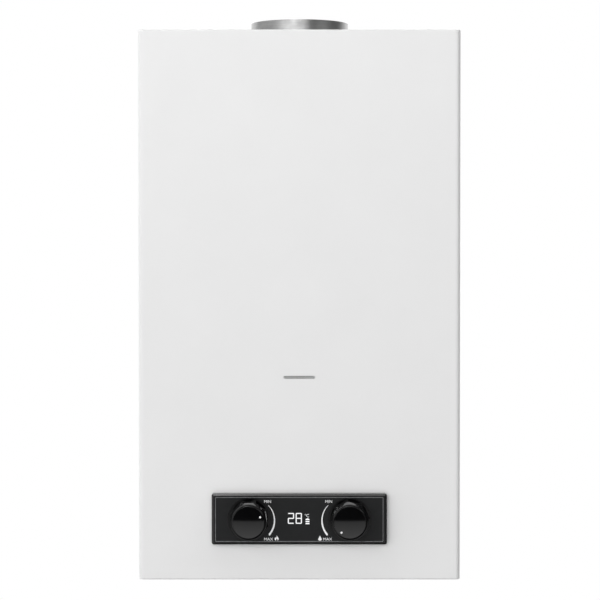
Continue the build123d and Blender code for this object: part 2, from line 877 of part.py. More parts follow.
with BuildPart() as water_valve_cover:
    bar_x(disc_radius, cover_left, cover_face, valve_y, valve_z)
    bar_x(dome_radius, dome_left, cover_left, valve_y, valve_z)
    chamfer(water_valve_cover.faces().sort_by(Axis.X)[0].edges(), cast_edge)
    bar_x(rod_bore_radius, dome_left - overrun, cover_face, valve_y, valve_z, Mode.SUBTRACT)
    with BuildSketch(Plane.YZ.offset(cover_left)):
        with Locations((valve_y, valve_z)):
            with PolarLocations(disc_screw_circle, disc_screw_count):
                Circle(disc_screw_radius + seam_gap)
    extrude(amount=disc_thick, mode=Mode.SUBTRACT)
write_piece(water_valve_cover, "water_valve_cover")

with BuildPart() as valve_screws:
    with BuildSketch(Plane.YZ.offset(cover_left - disc_screw_head)):
        with Locations((valve_y, valve_z)):
            with PolarLocations(disc_screw_circle, disc_screw_count):
                RegularPolygon(disc_screw_head_radius, 6)
    extrude(amount=disc_screw_head)
    with BuildSketch(Plane.YZ.offset(cover_left)):
        with Locations((valve_y, valve_z)):
            with PolarLocations(disc_screw_circle, disc_screw_count):
                Circle(disc_screw_radius)
    extrude(amount=2 * disc_thick + membrane_thick + disc_screw_tail)
write_piece(valve_screws, "valve_screws")

with BuildPart() as drain_plug:
    with BuildSketch(Plane.YZ.offset(water_right)):
        with Locations((valve_y, valve_z)):
            RegularPolygon(plug_radius, plug_sides)
    extrude(amount=plug_length)
    chamfer(drain_plug.faces().sort_by(Axis.X)[-1].edges(), tail_chamfer)
write_piece(drain_plug, "drain_plug")

# Push rod: carries the membrane's movement across to the gas section
rod_right = cover_face - fit_gap
collar_right = dome_left - rod_collar_setback
collar_left = collar_right - rod_collar_thick

with BuildPart() as push_rod:
    bar_x(rod_guide_radius, rod_left, rod_right, valve_y, valve_z)
    bar_x(rod_collar_radius, collar_left, collar_right, valve_y, valve_z)
write_piece(push_rod, "push_rod")

# Saddle plate on the gas section's pad, with the micro switch hung under it
switch_left = gas_right + switch_inset
switch_right = switch_left + switch_length
switch_z = pad_top - switch_height
ear_half = switch_width / 2
lever_face = collar_left - fit_gap
lever_x = lever_face - lever_thick / 2
pivot_z = switch_z - lever_pivot_drop
ear_reach = lever_barrel_radius + ear_thick
pivot_bore_radius = lever_pin_radius + running_gap

with BuildPart() as switch_bracket:
    block(
        (gas_right - pad_length, valve_y - pad_width / 2, pad_top),
        (switch_right, valve_y + pad_width / 2, pad_top + saddle_sheet),
    )
write_piece(switch_bracket, "switch_bracket")

with BuildPart() as micro_switch:
    block((switch_left, valve_y - ear_half, switch_z), (switch_right, valve_y + ear_half, pad_top))
    fillet(micro_switch.edges().filter_by(Axis.Y), switch_round)
    for ear_y in (valve_y - ear_half, valve_y + ear_half - ear_thick):
        block(
            (lever_x - ear_reach, ear_y, switch_z - ear_drop),
            (lever_x + ear_reach, ear_y + ear_thick, switch_z + ear_thick),
        )
    bar_y(pivot_bore_radius, valve_y - switch_width, valve_y + switch_width, lever_x, pivot_z, Mode.SUBTRACT)
write_piece(micro_switch, "micro_switch")

# Lever of the micro switch, hanging beside the push rod's collar
lever_half = ear_half - ear_thick - fit_gap

with BuildPart() as switch_lever:
    bar_y(lever_barrel_radius, valve_y - lever_half, valve_y + lever_half, lever_x, pivot_z)
    bar_y(lever_pin_radius, valve_y - ear_half, valve_y + ear_half, lever_x, pivot_z)
    block(
        (lever_x - lever_thick / 2, valve_y - lever_half, pivot_z - lever_length),
        (lever_x + lever_thick / 2, valve_y + lever_half, pivot_z),
    )
write_piece(switch_lever, "switch_lever")

# Spindles: round shafts with a flat where the knob grips
fascia_face = front - bezel_proud + fascia_sink
knob_back = fascia_face - knob_lift
spindle_tip = knob_back - spindle_grip
flat_depth = spindle_radius - spindle_flat


def spindle(x):
    bar_y(spindle_radius, spindle_tip, spindle_end - fit_gap, x, valve_z)
    block(
        (x - spindle_radius, spindle_tip - overrun, valve_z + flat_depth),
        (x + spindle_radius, knob_back, valve_z + spindle_radius),
        Mode.SUBTRACT,
    )


with BuildPart() as gas_spindle:
    spindle(gas_x)
write_piece(gas_spindle, "gas_spindle")

with BuildPart() as water_spindle:
    spindle(water_x)
write_piece(water_spindle, "water_spindle")

# Knobs: tapered drums with a crowned face and finger scoops, hollow behind, with a keyed hub
hollow_radius = knob_crown_radius - scoop_depth - knob_wall
hollow_depth = spindle_grip
socket_radius = spindle_radius + hub_gap
scoop_circle = (knob_shoulder_radius + knob_crown_radius) / 2 + scoop_radius - scoop_depth
scoop_z = knob_skirt + scoop_lift
key_width = 2 * socket_radius
key_height = socket_radius - flat_depth - hub_gap
face_edge = knob_length - knob_dome
face_corner = (knob_face_radius, -face_edge)
face_round = (knob_face_radius**2 + knob_dome**2) / (2 * knob_dome)
dot_floor = knob_length - knob_dome * (dot_circle / knob_face_radius) ** 2 - dot_depth
scoop_half_step = 180 / scoop_count


def knob(x, dot_angle):
    # The profile is turned about the spindle's axis; the scoops and the dot are then cut from it
    with BuildSketch(Plane((x, knob_back, valve_z), x_dir=(1, 0, 0), z_dir=(0, 0, 1))) as profile:
        with BuildLine():
            Polyline(
                (0, -knob_length),
                (0, 0),
                (knob_radius, 0),
                (knob_radius, -knob_skirt),
                (knob_shoulder_radius, -knob_skirt),
                (knob_crown_radius, knob_rim - face_edge),
            )
            RadiusArc((knob_crown_radius, knob_rim - face_edge), face_corner, -knob_rim_round)
            RadiusArc(face_corner, (0, -knob_length), -face_round)
        make_face()
    revolve(profile.sketch, axis=Axis((x, knob_back, valve_z), (0, 1, 0)))
    with Locations((0, 0, scoop_z)):
        with PolarLocations(scoop_circle, scoop_count, start_angle=dot_angle + scoop_half_step):
            Sphere(scoop_radius, mode=Mode.SUBTRACT)
    Cylinder(knob_radius, knob_skirt, align=low_align)
    Cylinder(hollow_radius, hollow_depth, align=low_align, mode=Mode.SUBTRACT)
    Cylinder(knob_hub_radius, hollow_depth, align=low_align)
    Cylinder(socket_radius, hollow_depth, align=low_align, mode=Mode.SUBTRACT)
    with Locations((0, socket_radius - key_height / 2, hollow_depth / 2)):
        Box(key_width, key_height, hollow_depth)
    with Locations((0, 0, dot_floor)):
        with PolarLocations(dot_circle, 1, start_angle=dot_angle):
            Cylinder(dot_radius, overrun, align=low_align, mode=Mode.SUBTRACT)


with BuildPart(Plane((gas_x, knob_back, valve_z), x_dir=(1, 0, 0), z_dir=(0, -1, 0))) as gas_knob:
    knob(gas_x, gas_dot_angle)
write_piece(gas_knob, "gas_knob")

with BuildPart(Plane((water_x, knob_back, valve_z), x_dir=(1, 0, 0), z_dir=(0, -1, 0))) as water_knob:
    knob(water_x, water_dot_angle)
write_piece(water_knob, "water_knob")

# Control panel bezel: bevelled frame in front, open pod behind the cover
bezel_front = front - bezel_proud
fascia_back = fascia_face + fascia_thick
recess_width = bezel_width - 2 * bezel_side_border
recess_height = bezel_height - 2 * bezel_end_border
pod_back = front + pod_depth
floor_back = fascia_back + pod_wall
board_front = floor_back + board_gap
post_x = board_width / 2 - board_post_inset
post_z = board_height / 2 - board_post_inset
bezel_plane = Plane((0, bezel_front, valve_z), x_dir=(1, 0, 0), z_dir=(0, -1, 0))
screen_plane = Plane((0, floor_back, valve_z), x_dir=(1, 0, 0), z_dir=(0, -1, 0))

with BuildPart() as panel_bezel:
    with BuildSketch(bezel_plane):
        RectangleRounded(bezel_width, bezel_height, bezel_corner)
    extrude(amount=-bezel_proud)
    chamfer(panel_bezel.faces().sort_by(Axis.Y)[0].edges(), bezel_bevel)
    with BuildSketch(bezel_plane):
        RectangleRounded(pod_width, pod_height, pod_round)
    extrude(amount=-bezel_proud - pod_depth)
    with BuildSketch(bezel_plane):
        RectangleRounded(recess_width, recess_height, fascia_corner)
    extrude(amount=fascia_face - bezel_front - fascia_thick - 2 * fascia_sink, mode=Mode.SUBTRACT)
    with BuildSketch(screen_plane):
        RectangleRounded(pod_width - 2 * pod_wall, pod_height - 2 * pod_wall, pod_round - pod_wall / 2)
    extrude(amount=floor_back - pod_back, mode=Mode.SUBTRACT)
    with BuildSketch(screen_plane):
        with GridLocations(2 * post_x, 2 * post_z, 2, 2):
            Circle(board_post_radius)
    extrude(amount=-board_gap)
    with BuildSketch(bezel_plane):
        with GridLocations(knob_spacing, 0, 2, 1):
            Circle(panel_hole_radius)
        Rectangle(screen_width, screen_height)
    extrude(amount=-bezel_proud - pod_wall, mode=Mode.SUBTRACT)
write_piece(panel_bezel, "panel_bezel")

# Fascia: a gloss plate set into the bezel
with BuildPart() as panel_fascia:
    with BuildSketch(Plane((0, fascia_back, valve_z), x_dir=(1, 0, 0), z_dir=(0, -1, 0))):
        RectangleRounded(recess_width - 2 * fit_gap, recess_height - 2 * fit_gap, fascia_corner - fit_gap)
        with GridLocations(knob_spacing, 0, 2, 1):
            Circle(panel_hole_radius, mode=Mode.SUBTRACT)
    extrude(amount=fascia_thick)
write_piece(panel_fascia, "panel_fascia")

# Display: circuit board on the bezel's posts with the screen reaching through the window
with BuildPart() as display_module:
    with BuildSketch(Plane((0, board_front, valve_z), x_dir=(1, 0, 0), z_dir=(0, -1, 0))):
        Rectangle(board_width, board_height)
    extrude(amount=-board_thick)
    with BuildSketch(Plane((0, board_front, valve_z), x_dir=(1, 0, 0), z_dir=(0, -1, 0))):
        Rectangle(screen_width - 2 * fit_gap, screen_height - 2 * fit_gap)
    extrude(amount=board_front - fascia_back - fit_gap)
write_piece(display_module, "display_module")

with BuildPart() as panel_back:
    with BuildSketch(Plane((0, pod_back, valve_z), x_dir=(1, 0, 0), z_dir=(0, -1, 0))):
        RectangleRounded(pod_width, pod_height, pod_round)
        with GridLocations(knob_spacing, 0, 2, 1):
            Circle(panel_hole_radius, mode=Mode.SUBTRACT)
    extrude(amount=-lid_thick)
write_piece(panel_back, "panel_back")

# Tails: brass connectors with a hexagon under the bracket and a neck through it
tail_bottom = base - tail_drop
hex_z = tail_bottom + tail_thread
neck_top = socket_top - fit_gap


def tail(x):
    bar_z(tail_radius, tail_bottom, hex_z, x, valve_y)
    with BuildSketch(Plane.XY.offset(hex_z)) as hexagon:
        with Locations((x, valve_y)):
            RegularPolygon(tail_hex_flats / 2, 6, major_radius=False)
    extrude(hexagon.sketch, amount=tail_hex)
    bar_z(tail_neck_radius, bracket_z, neck_top, x, valve_y)
    bar_z(tail_bore_radius, tail_bottom - overrun, neck_top + overrun, x, valve_y, Mode.SUBTRACT)


with BuildPart() as gas_tail:
    tail(gas_x)
write_piece(gas_tail, "gas_tail")

with BuildPart() as cold_tail:
    tail(water_x)
write_piece(cold_tail, "cold_tail")

with BuildPart() as hot_tail:
    tail(-hot_x)
write_piece(hot_tail, "hot_tail")

# Pipe bracket: folded shelf on the back plate that the tails hang from
bracket_left = -hot_x - bracket_margin
bracket_right = water_x + bracket_margin
bracket_front = valve_y - bracket_margin
bracket_back = -plate_sheet
window_y = (valve_y + tail_hex_flats / 2 + bracket_back - bracket_sheet) / 2

with BuildPart() as pipe_bracket:
    block((bracket_left, bracket_front, bracket_z), (bracket_right, bracket_back, bracket_top))
    block(
        (bracket_left, bracket_back - bracket_sheet, bracket_z),
        (bracket_right, bracket_back, bracket_z + bracket_flange),
    )
    with BuildSketch(Plane.XY.offset(bracket_z)):
        with Locations((gas_x, valve_y), (water_x, valve_y), (-hot_x, valve_y)):
            Circle(tail_socket_radius)
        with Locations((gas_x, window_y), (water_x, window_y), (-hot_x, window_y), (0, window_y)):
            RectangleRounded(window_length, window_width, window_round)
    extrude(amount=overrun, mode=Mode.SUBTRACT)
write_piece(pipe_bracket, "pipe_bracket")

# Gas riser from the gas section's outlet to the manifold
rail_middle_y = (rail_front + rail_back) / 2
riser_route = [
    (gas_x, valve_y, outlet_top),
    (gas_x, valve_y, base + riser_cross_height),
    (gas_x, rail_middle_y, base + riser_cross_height),
    (gas_x, rail_middle_y, rail_z),
]

with BuildPart() as gas_riser:
    tube(riser_route, riser_radius, pipe_bend)
write_piece(gas_riser, "gas_riser")

# Cold pipe: from the water section, once round the chamber, up to the front tube
coil_x = chamber_width / 2 + pipe_radius + fit_gap
coil_front = chamber_front - pipe_radius - fit_gap
coil_back = chamber_back + pipe_radius + fit_gap
coil_z = chamber_z + coil_lift
coil_climb = coil_climb_share * (tube_z - coil_z)
drop_x = tube_end_x + pipe_bend + pipe_straight
cold_route = [
    (water_x, valve_y, outlet_top),
    (water_x, valve_y, base + cold_cross_height),
    (coil_x, valve_y, base + cold_cross_height),
    (coil_x, valve_y, coil_z),
    (coil_x, coil_back, coil_z + coil_climb),
    (-coil_x, coil_back, coil_z + 2 * coil_climb),
    (-coil_x, coil_front, coil_z + 3 * coil_climb),
    (coil_x, coil_front, coil_z + 4 * coil_climb),
    (drop_x, front_tube_y, coil_z + 7 * coil_climb),
    (drop_x, front_tube_y, tube_z),
    (tube_end_x, front_tube_y, tube_z),
]

with BuildPart() as cold_pipe:
    tube(cold_route, pipe_radius, pipe_bend)
write_piece(cold_pipe, "cold_pipe")

# Hot pipe: from the rear tube down the left side to its tail
hot_route = [
    (-tube_end_x, rear_tube_y, tube_z),
    (-drop_x, rear_tube_y, tube_z),
    (-drop_x, rear_tube_y, base + hot_jog_height),
    (-hot_x, valve_y, base + hot_jog_height - hot_jog_drop),
    (-hot_x, valve_y, neck_top),
]

with BuildPart() as hot_pipe:
    tube(hot_route, pipe_radius, pipe_bend)
write_piece(hot_pipe, "hot_pipe")

# Outlet sensor: a clip round the hot pipe with a sensor barrel beside it
clip_z = base + clip_rise
clip_radius = pipe_radius + seam_gap

with BuildPart() as outlet_sensor:
    bar_z(clip_radius + clip_wall, clip_z, clip_z + clip_height, -hot_x, valve_y)
    bar_y(
        sensor_radius,
        valve_y - clip_radius - sensor_length,
        valve_y - clip_radius,
        -hot_x,
        clip_z + clip_height / 2,
    )
    bar_z(clip_radius, clip_z - overrun, clip_z + clip_height + overrun, -hot_x, valve_y, Mode.SUBTRACT)
write_piece(outlet_sensor, "outlet_sensor")

# Thermostats: round cut-outs on the chamber's left wall and on the hood's front
overheat_z = chamber_top - overheat_drop
overheat_x = -chamber_width / 2
draft_stat_z = hood_top - draft_stat_drop

with BuildPart() as overheat_thermostat:
    bar_x(stat_radius, overheat_x - stat_length, overheat_x, flue_y, overheat_z)
    bar_x(stat_cap_radius, overheat_x - stat_length - stat_cap_length, overheat_x, flue_y, overheat_z)
    with BuildSketch(Plane.YZ.offset(overheat_x - stat_length - stat_cap_length)):
        with Locations((flue_y, overheat_z)):
            with GridLocations(stat_cap_radius, 0, 2, 1):
                Rectangle(terminal_thick, terminal_width)
    extrude(amount=-stat_terminal)
write_piece(overheat_thermostat, "overheat_thermostat")

with BuildPart() as draft_thermostat:
    bar_y(stat_radius, hood_front - stat_length, hood_front, draft_stat_x, draft_stat_z)
    bar_y(stat_cap_radius, hood_front - stat_length - stat_cap_length, hood_front, draft_stat_x, draft_stat_z)
    with BuildSketch(Plane.XZ.offset(stat_length + stat_cap_length - hood_front)):
        with Locations((draft_stat_x, draft_stat_z)):
            with GridLocations(stat_cap_radius, 0, 2, 1):
                Rectangle(terminal_thick, terminal_width)
    extrude(amount=stat_terminal)
write_piece(draft_thermostat, "draft_thermostat")

# Electrode holder on the burner frame's front, with two ceramic insulators and their rods
electrode_z = base + electrode_height
holder_front = frame_front - holder_sheet
holder_low = frame_z + frame_height - holder_foot
holder_high = electrode_z + holder_margin
holder_left = spark_x - holder_margin
holder_right = sense_x + holder_margin
insulator_end = frame_front + insulator_back_reach
insulator_head = holder_front - insulator_front_reach
electrode_places = (spark_x, sense_x)

with BuildPart() as electrode_bracket:
    with BuildSketch(Plane.XZ.offset(-frame_front)) as holder_plan:
        with Locations(((holder_left + holder_right) / 2, (holder_low + holder_high) / 2)):
            Rectangle(holder_right - holder_left, holder_high - holder_low)
        fillet(holder_plan.vertices().group_by(Axis.Z)[-1], holder_round)
        with Locations(*[(x, electrode_z) for x in electrode_places]):
            Circle(insulator_radius + seam_gap, mode=Mode.SUBTRACT)
    extrude(amount=holder_sheet)
write_piece(electrode_bracket, "electrode_bracket")

with BuildPart() as electrode_insulators:
    for x in electrode_places:
        bar_y(insulator_radius, insulator_head, insulator_end, x, electrode_z)
        bar_y(insulator_collar_radius, holder_front - insulator_collar_length, holder_front, x, electrode_z)
write_piece(electrode_insulators, "electrode_insulators")

with BuildPart() as electrode_rods:
    for x in electrode_places:
        rod_route = [
            (x, insulator_end, electrode_z),
            (x, insulator_end + rod_reach, electrode_z),
            (x, insulator_end + rod_reach, electrode_z - rod_drop),
        ]
        tube(rod_route, rod_radius, rod_bend)
write_piece(electrode_rods, "electrode_rods")

# Controller: a moulded box with a raised lid on the back plate
controller_low = base + controller_base
controller_front = -plate_sheet - controller_depth
controller_middle = controller_low + controller_height / 2

with BuildPart() as controller_box:
    with BuildSketch(Plane.XZ.offset(plate_sheet)):
        with Locations((controller_x, controller_middle)):
            RectangleRounded(controller_width, controller_height, controller_round)
    extrude(amount=controller_depth - controller_lid)
    with BuildSketch(Plane.XZ.offset(plate_sheet + controller_depth - controller_lid)):
        with Locations((controller_x, controller_middle)):
            RectangleRounded(
                controller_width - 2 * controller_lid_margin,
                controller_height - 2 * controller_lid_margin,
                controller_round,
            )
    extrude(amount=controller_lid)
write_piece(controller_box, "controller_box")

# Leads from the controller's lid to the electrodes
lead_y = insulator_head - lead_lift
lead_low = controller_low + controller_height / 3
lead_high = controller_low + controller_height * 2 / 3
lead_drop_x = coil_x + pipe_radius + 2 * lead_radius + lead_bend / 5
spark_step = holder_margin + lead_bend
spark_route = [
    (spark_x, insulator_head, electrode_z),
    (spark_x, lead_y, electrode_z),
    (spark_x + spark_step, lead_y, electrode_z + spark_step),
    (lead_drop_x + holder_margin, lead_y, electrode_z + spark_step),
    (lead_drop_x + holder_margin, lead_y, lead_high),
    (lead_drop_x + holder_margin, controller_front, lead_high),
]
sensor_route = [
    (sense_x, insulator_head, electrode_z),
    (sense_x, lead_y, electrode_z),
    (sense_x + spark_step, lead_y, electrode_z - spark_step),
    (lead_drop_x, lead_y, electrode_z - spark_step),
    (lead_drop_x, lead_y, lead_low),
    (lead_drop_x, controller_front, lead_low),
]

with BuildPart() as spark_lead:
    tube(spark_route, lead_radius, lead_bend)
write_piece(spark_lead, "spark_lead")

with BuildPart() as sensor_lead:
    tube(sensor_route, lead_radius, lead_bend)
write_piece(sensor_lead, "sensor_lead")

# Battery box: open below, with two hinge ears at its rear lower edge
box_depth = 2 * cell_radius + 2 * fit_gap + 2 * box_wall
box_bottom = base + box_base
box_bore_height = cell_length + cell_nub + 2 * fit_gap
box_top = box_bottom + box_bore_height + box_wall
box_back = -plate_sheet - fit_gap
box_y = box_back - box_depth / 2
hinge_y = -plate_sheet - hinge_setback
hinge_z = box_bottom - fit_gap - hinge_barrel_radius
ear_x = box_width / 2 - hinge_ear / 2

with BuildPart() as battery_box:
    with BuildSketch(Plane.XY.offset(box_bottom)):
        with Locations((box_x, box_y)):
            RectangleRounded(box_width, box_depth, box_round)
    extrude(amount=box_top - box_bottom)
    fillet(battery_box.faces().sort_by(Axis.Z)[-1].edges(), box_wall)
    with BuildSketch(Plane.XY.offset(box_bottom)):
        with Locations((box_x, box_y)):
            RectangleRounded(box_width - 2 * box_wall, box_depth - 2 * box_wall, box_round - box_wall)
    extrude(amount=box_bore_height, mode=Mode.SUBTRACT)
    for ear_middle in (box_x - ear_x, box_x + ear_x):
        bar_x(hinge_barrel_radius, ear_middle - hinge_ear / 2, ear_middle + hinge_ear / 2, hinge_y, hinge_z)
        block(
            (ear_middle - hinge_ear / 2, hinge_y - hinge_barrel_radius, hinge_z),
            (ear_middle + hinge_ear / 2, hinge_y + hinge_barrel_radius, box_bottom + box_wall),
        )
        bar_x(
            hinge_pin_radius + running_gap,
            ear_middle - hinge_ear,
            ear_middle + hinge_ear,
            hinge_y,
            hinge_z,
            Mode.SUBTRACT,
        )
write_piece(battery_box, "battery_box")

# Battery door: hinged flap with pins in the box's ears, locating rib and finger tab
door_front = box_y - box_depth / 2
door_top = box_bottom - fit_gap
door_bottom = door_top - door_thick
door_left = box_x - box_width / 2
door_right = box_x + box_width / 2
knuckle_half = ear_x - hinge_ear / 2 - fit_gap
plate_edge = hinge_y - hinge_barrel_radius - fit_gap

with BuildPart() as battery_door:
    block((door_left, door_front, door_bottom), (door_right, plate_edge, door_top))
    fillet(battery_door.edges().filter_by(Axis.Z), box_round / 2)
    block(
        (box_x - knuckle_half, plate_edge - hinge_barrel_radius, door_bottom),
        (box_x + knuckle_half, hinge_y, door_top),
    )
    bar_x(hinge_barrel_radius, box_x - knuckle_half, box_x + knuckle_half, hinge_y, hinge_z)
    bar_x(
        hinge_pin_radius,
        box_x - ear_x - hinge_ear / 2,
        box_x + ear_x + hinge_ear / 2,
        hinge_y,
        hinge_z,
    )
    block(
        (box_x - tab_width / 2, door_front, door_bottom - tab_drop),
        (box_x + tab_width / 2, door_front + tab_thick, door_bottom),
    )
write_piece(battery_door, "battery_door")

# Two round cells standing side by side in the box
cell_pitch = 2 * cell_radius + fit_gap
cell_bottom = box_bottom

with BuildPart() as battery_cells:
    for cell_x in (box_x - cell_pitch / 2, box_x + cell_pitch / 2):
        bar_z(cell_radius, cell_bottom, cell_bottom + cell_length, cell_x, box_y)
    chamfer(battery_cells.edges().filter_by(GeomType.CIRCLE), cell_edge)
    for cell_x in (box_x - cell_pitch / 2, box_x + cell_pitch / 2):
        bar_z(cell_nub_radius, cell_bottom + cell_length, cell_bottom + cell_length + cell_nub, cell_x, box_y)
write_piece(battery_cells, "battery_cells")
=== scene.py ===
import json
import math

import bpy
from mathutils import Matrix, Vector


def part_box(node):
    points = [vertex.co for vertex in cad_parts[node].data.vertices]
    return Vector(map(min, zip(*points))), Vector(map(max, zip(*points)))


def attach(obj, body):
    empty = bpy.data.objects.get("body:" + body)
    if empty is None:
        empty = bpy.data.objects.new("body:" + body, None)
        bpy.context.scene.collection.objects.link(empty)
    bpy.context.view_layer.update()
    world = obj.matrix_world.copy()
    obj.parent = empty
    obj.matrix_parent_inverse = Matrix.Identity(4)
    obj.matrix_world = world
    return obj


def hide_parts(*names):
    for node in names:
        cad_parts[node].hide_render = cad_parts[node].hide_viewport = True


# Wall-hung gas water heater: finishes, threads, screws, panel print and studio around the frame, in metres

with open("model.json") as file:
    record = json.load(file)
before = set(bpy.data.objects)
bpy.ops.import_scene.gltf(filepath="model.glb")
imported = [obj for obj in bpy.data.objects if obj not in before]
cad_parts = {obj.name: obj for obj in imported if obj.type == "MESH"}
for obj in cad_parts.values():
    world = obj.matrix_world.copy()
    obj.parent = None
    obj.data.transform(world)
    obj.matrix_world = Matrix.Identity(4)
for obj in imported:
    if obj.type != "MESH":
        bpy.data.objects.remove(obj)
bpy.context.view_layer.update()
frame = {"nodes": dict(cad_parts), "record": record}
nodes = frame["nodes"]
mm = 0.001
print("frame loaded:", len(nodes), "nodes")


def toLinear(hexText):
    # sRGB hex to the linear colour that nodes take
    parts = [int(hexText[i:i + 2], 16) / 255 for i in (1, 3, 5)]
    linear = [p / 12.92 if p <= 0.04045 else ((p + 0.055) / 1.055) ** 2.4 for p in parts]
    return (*linear, 1.0)


def addNode(tree, kind, links=None, **settings):
    # one node with its settings; a link is a socket of another node or a plain value
    node = tree.nodes.new(kind)
    for name, value in settings.items():
        setattr(node, name, value)
    for socket, source in (links or {}).items():
        if isinstance(source, bpy.types.NodeSocket):
            tree.links.new(source, node.inputs[socket])
        else:
            node.inputs[socket].default_value = source
    return node


def startMaterial(name):
    material = bpy.data.materials.new(name)
    material.use_nodes = True
    tree = material.node_tree
    tree.nodes.clear()
    place = addNode(tree, "ShaderNodeTexCoord").outputs["Object"]
    return material, tree, place


def endMaterial(tree, surface):
    # surface holds what feeds the shader, by the name of its socket
    shader = addNode(tree, "ShaderNodeBsdfPrincipled", surface)
    addNode(tree, "ShaderNodeOutputMaterial", {"Surface": shader.outputs["BSDF"]})


def perMetre(grainMm):
    # pattern repeats per metre for a grain of that many millimetres
    return 1 / (grainMm * mm)


# Powder coat: polyester baked on folded steel, a soft satin white with a faint orange peel
coat = {"light": "#F3F3F3", "shade": "#EFEFEF", "cloudMm": 60, "peelMm": 1.6, "rough": (0.34, 0.42),
        "bump": 0.05, "peelDeep": 0.05 * mm}


def whitePowderCoat():
    material, tree, place = startMaterial("whitePowderCoat")
    cloud = addNode(tree, "ShaderNodeTexNoise",
                    {"Vector": place, "Scale": perMetre(coat["cloudMm"]), "Detail": 2})
    tint = addNode(tree, "ShaderNodeValToRGB", {"Fac": cloud.outputs["Fac"]})
    tint.color_ramp.elements[0].color = toLinear(coat["shade"])
    tint.color_ramp.elements[1].color = toLinear(coat["light"])
    peel = addNode(tree, "ShaderNodeTexNoise",
                   {"Vector": place, "Scale": perMetre(coat["peelMm"]), "Detail": 1})
    gloss = addNode(tree, "ShaderNodeMapRange",
                    {"Value": peel.outputs["Fac"], "To Min": coat["rough"][0], "To Max": coat["rough"][1]})
    bump = addNode(tree, "ShaderNodeBump",
                   {"Height": peel.outputs["Fac"], "Strength": coat["bump"], "Distance": coat["peelDeep"]})
    endMaterial(tree, {"Base Color": tint.outputs["Color"], "Roughness": gloss.outputs["Result"],
                       "Normal": bump.outputs["Normal"]})
    return material


# Galvanised sheet: hot-dip zinc with flat spangle crystals a few millimetres wide
zinc = {"dark": "#A2A5A6", "light": "#B7B9BA", "spangleMm": 7, "scratchMm": 0.6, "scratchShare": 0.3,
        "rough": (0.38, 0.52)}


def galvanisedSheet():
    material, tree, place = startMaterial("galvanisedSheet")
    spangle = addNode(tree, "ShaderNodeTexVoronoi", {"Vector": place, "Scale": perMetre(zinc["spangleMm"])})
    cells = addNode(tree, "ShaderNodeSeparateColor", {"Color": spangle.outputs["Color"]})
    grain = addNode(tree, "ShaderNodeTexNoise",
                    {"Vector": place, "Scale": perMetre(zinc["scratchMm"]), "Detail": 3})
    blend = addNode(tree, "ShaderNodeMix",
                    {"Factor": zinc["scratchShare"], "A": cells.outputs["Red"], "B": grain.outputs["Fac"]})
    tint = addNode(tree, "ShaderNodeValToRGB", {"Fac": blend.outputs["Result"]})
    tint.color_ramp.elements[0].color = toLinear(zinc["dark"])
    tint.color_ramp.elements[1].color = toLinear(zinc["light"])
    gloss = addNode(tree, "ShaderNodeMapRange",
                    {"Value": blend.outputs["Result"],
                     "To Min": zinc["rough"][1], "To Max": zinc["rough"][0]})
    endMaterial(tree, {"Base Color": tint.outputs["Color"], "Roughness": gloss.outputs["Result"],
                       "Metallic": 1.0})
    return material


# Flue tube: rolled galvanised steel, fine lines round it and faint zinc clouds; the lines are drawn at half a
# millimetre, coarser than real ones, so that they show
flue = {"dark": "#929292", "light": "#A9A9A9", "span": (0.3, 0.7), "lineMm": 0.5, "lineStretch": 0.04,
        "lineDeep": 0.02 * mm, "bump": 0.06, "cloudMm": 7, "cloudShare": 0.5, "rough": (0.34, 0.41)}


def rolledFlueSteel():
    material, tree, place = startMaterial("rolledFlueSteel")
    stretch = flue["lineStretch"]
    along = addNode(tree, "ShaderNodeMapping", {"Vector": place, "Scale": (stretch, stretch, 1.0)})
    lines = addNode(tree, "ShaderNodeTexNoise",
                    {"Vector": along.outputs["Vector"], "Scale": perMetre(flue["lineMm"]), "Detail": 2})
    cloud = addNode(tree, "ShaderNodeTexNoise",
                    {"Vector": place, "Scale": perMetre(flue["cloudMm"]), "Detail": 4})
    blend = addNode(tree, "ShaderNodeMix",
                    {"Factor": flue["cloudShare"], "A": lines.outputs["Fac"], "B": cloud.outputs["Fac"]})
    tint = addNode(tree, "ShaderNodeValToRGB", {"Fac": blend.outputs["Result"]})
    for stop, position, colour in zip(tint.color_ramp.elements, flue["span"], (flue["dark"], flue["light"])):
        stop.position = position
        stop.color = toLinear(colour)
    gloss = addNode(tree, "ShaderNodeMapRange",
                    {"Value": blend.outputs["Result"],
                     "From Min": flue["span"][0], "From Max": flue["span"][1],
                     "To Min": flue["rough"][1], "To Max": flue["rough"][0]})
    bump = addNode(tree, "ShaderNodeBump",
                   {"Height": lines.outputs["Fac"], "Strength": flue["bump"], "Distance": flue["lineDeep"]})
    endMaterial(tree, {"Base Color": tint.outputs["Color"], "Roughness": gloss.outputs["Result"],
                       "Normal": bump.outputs["Normal"], "Metallic": 1.0})
    return material


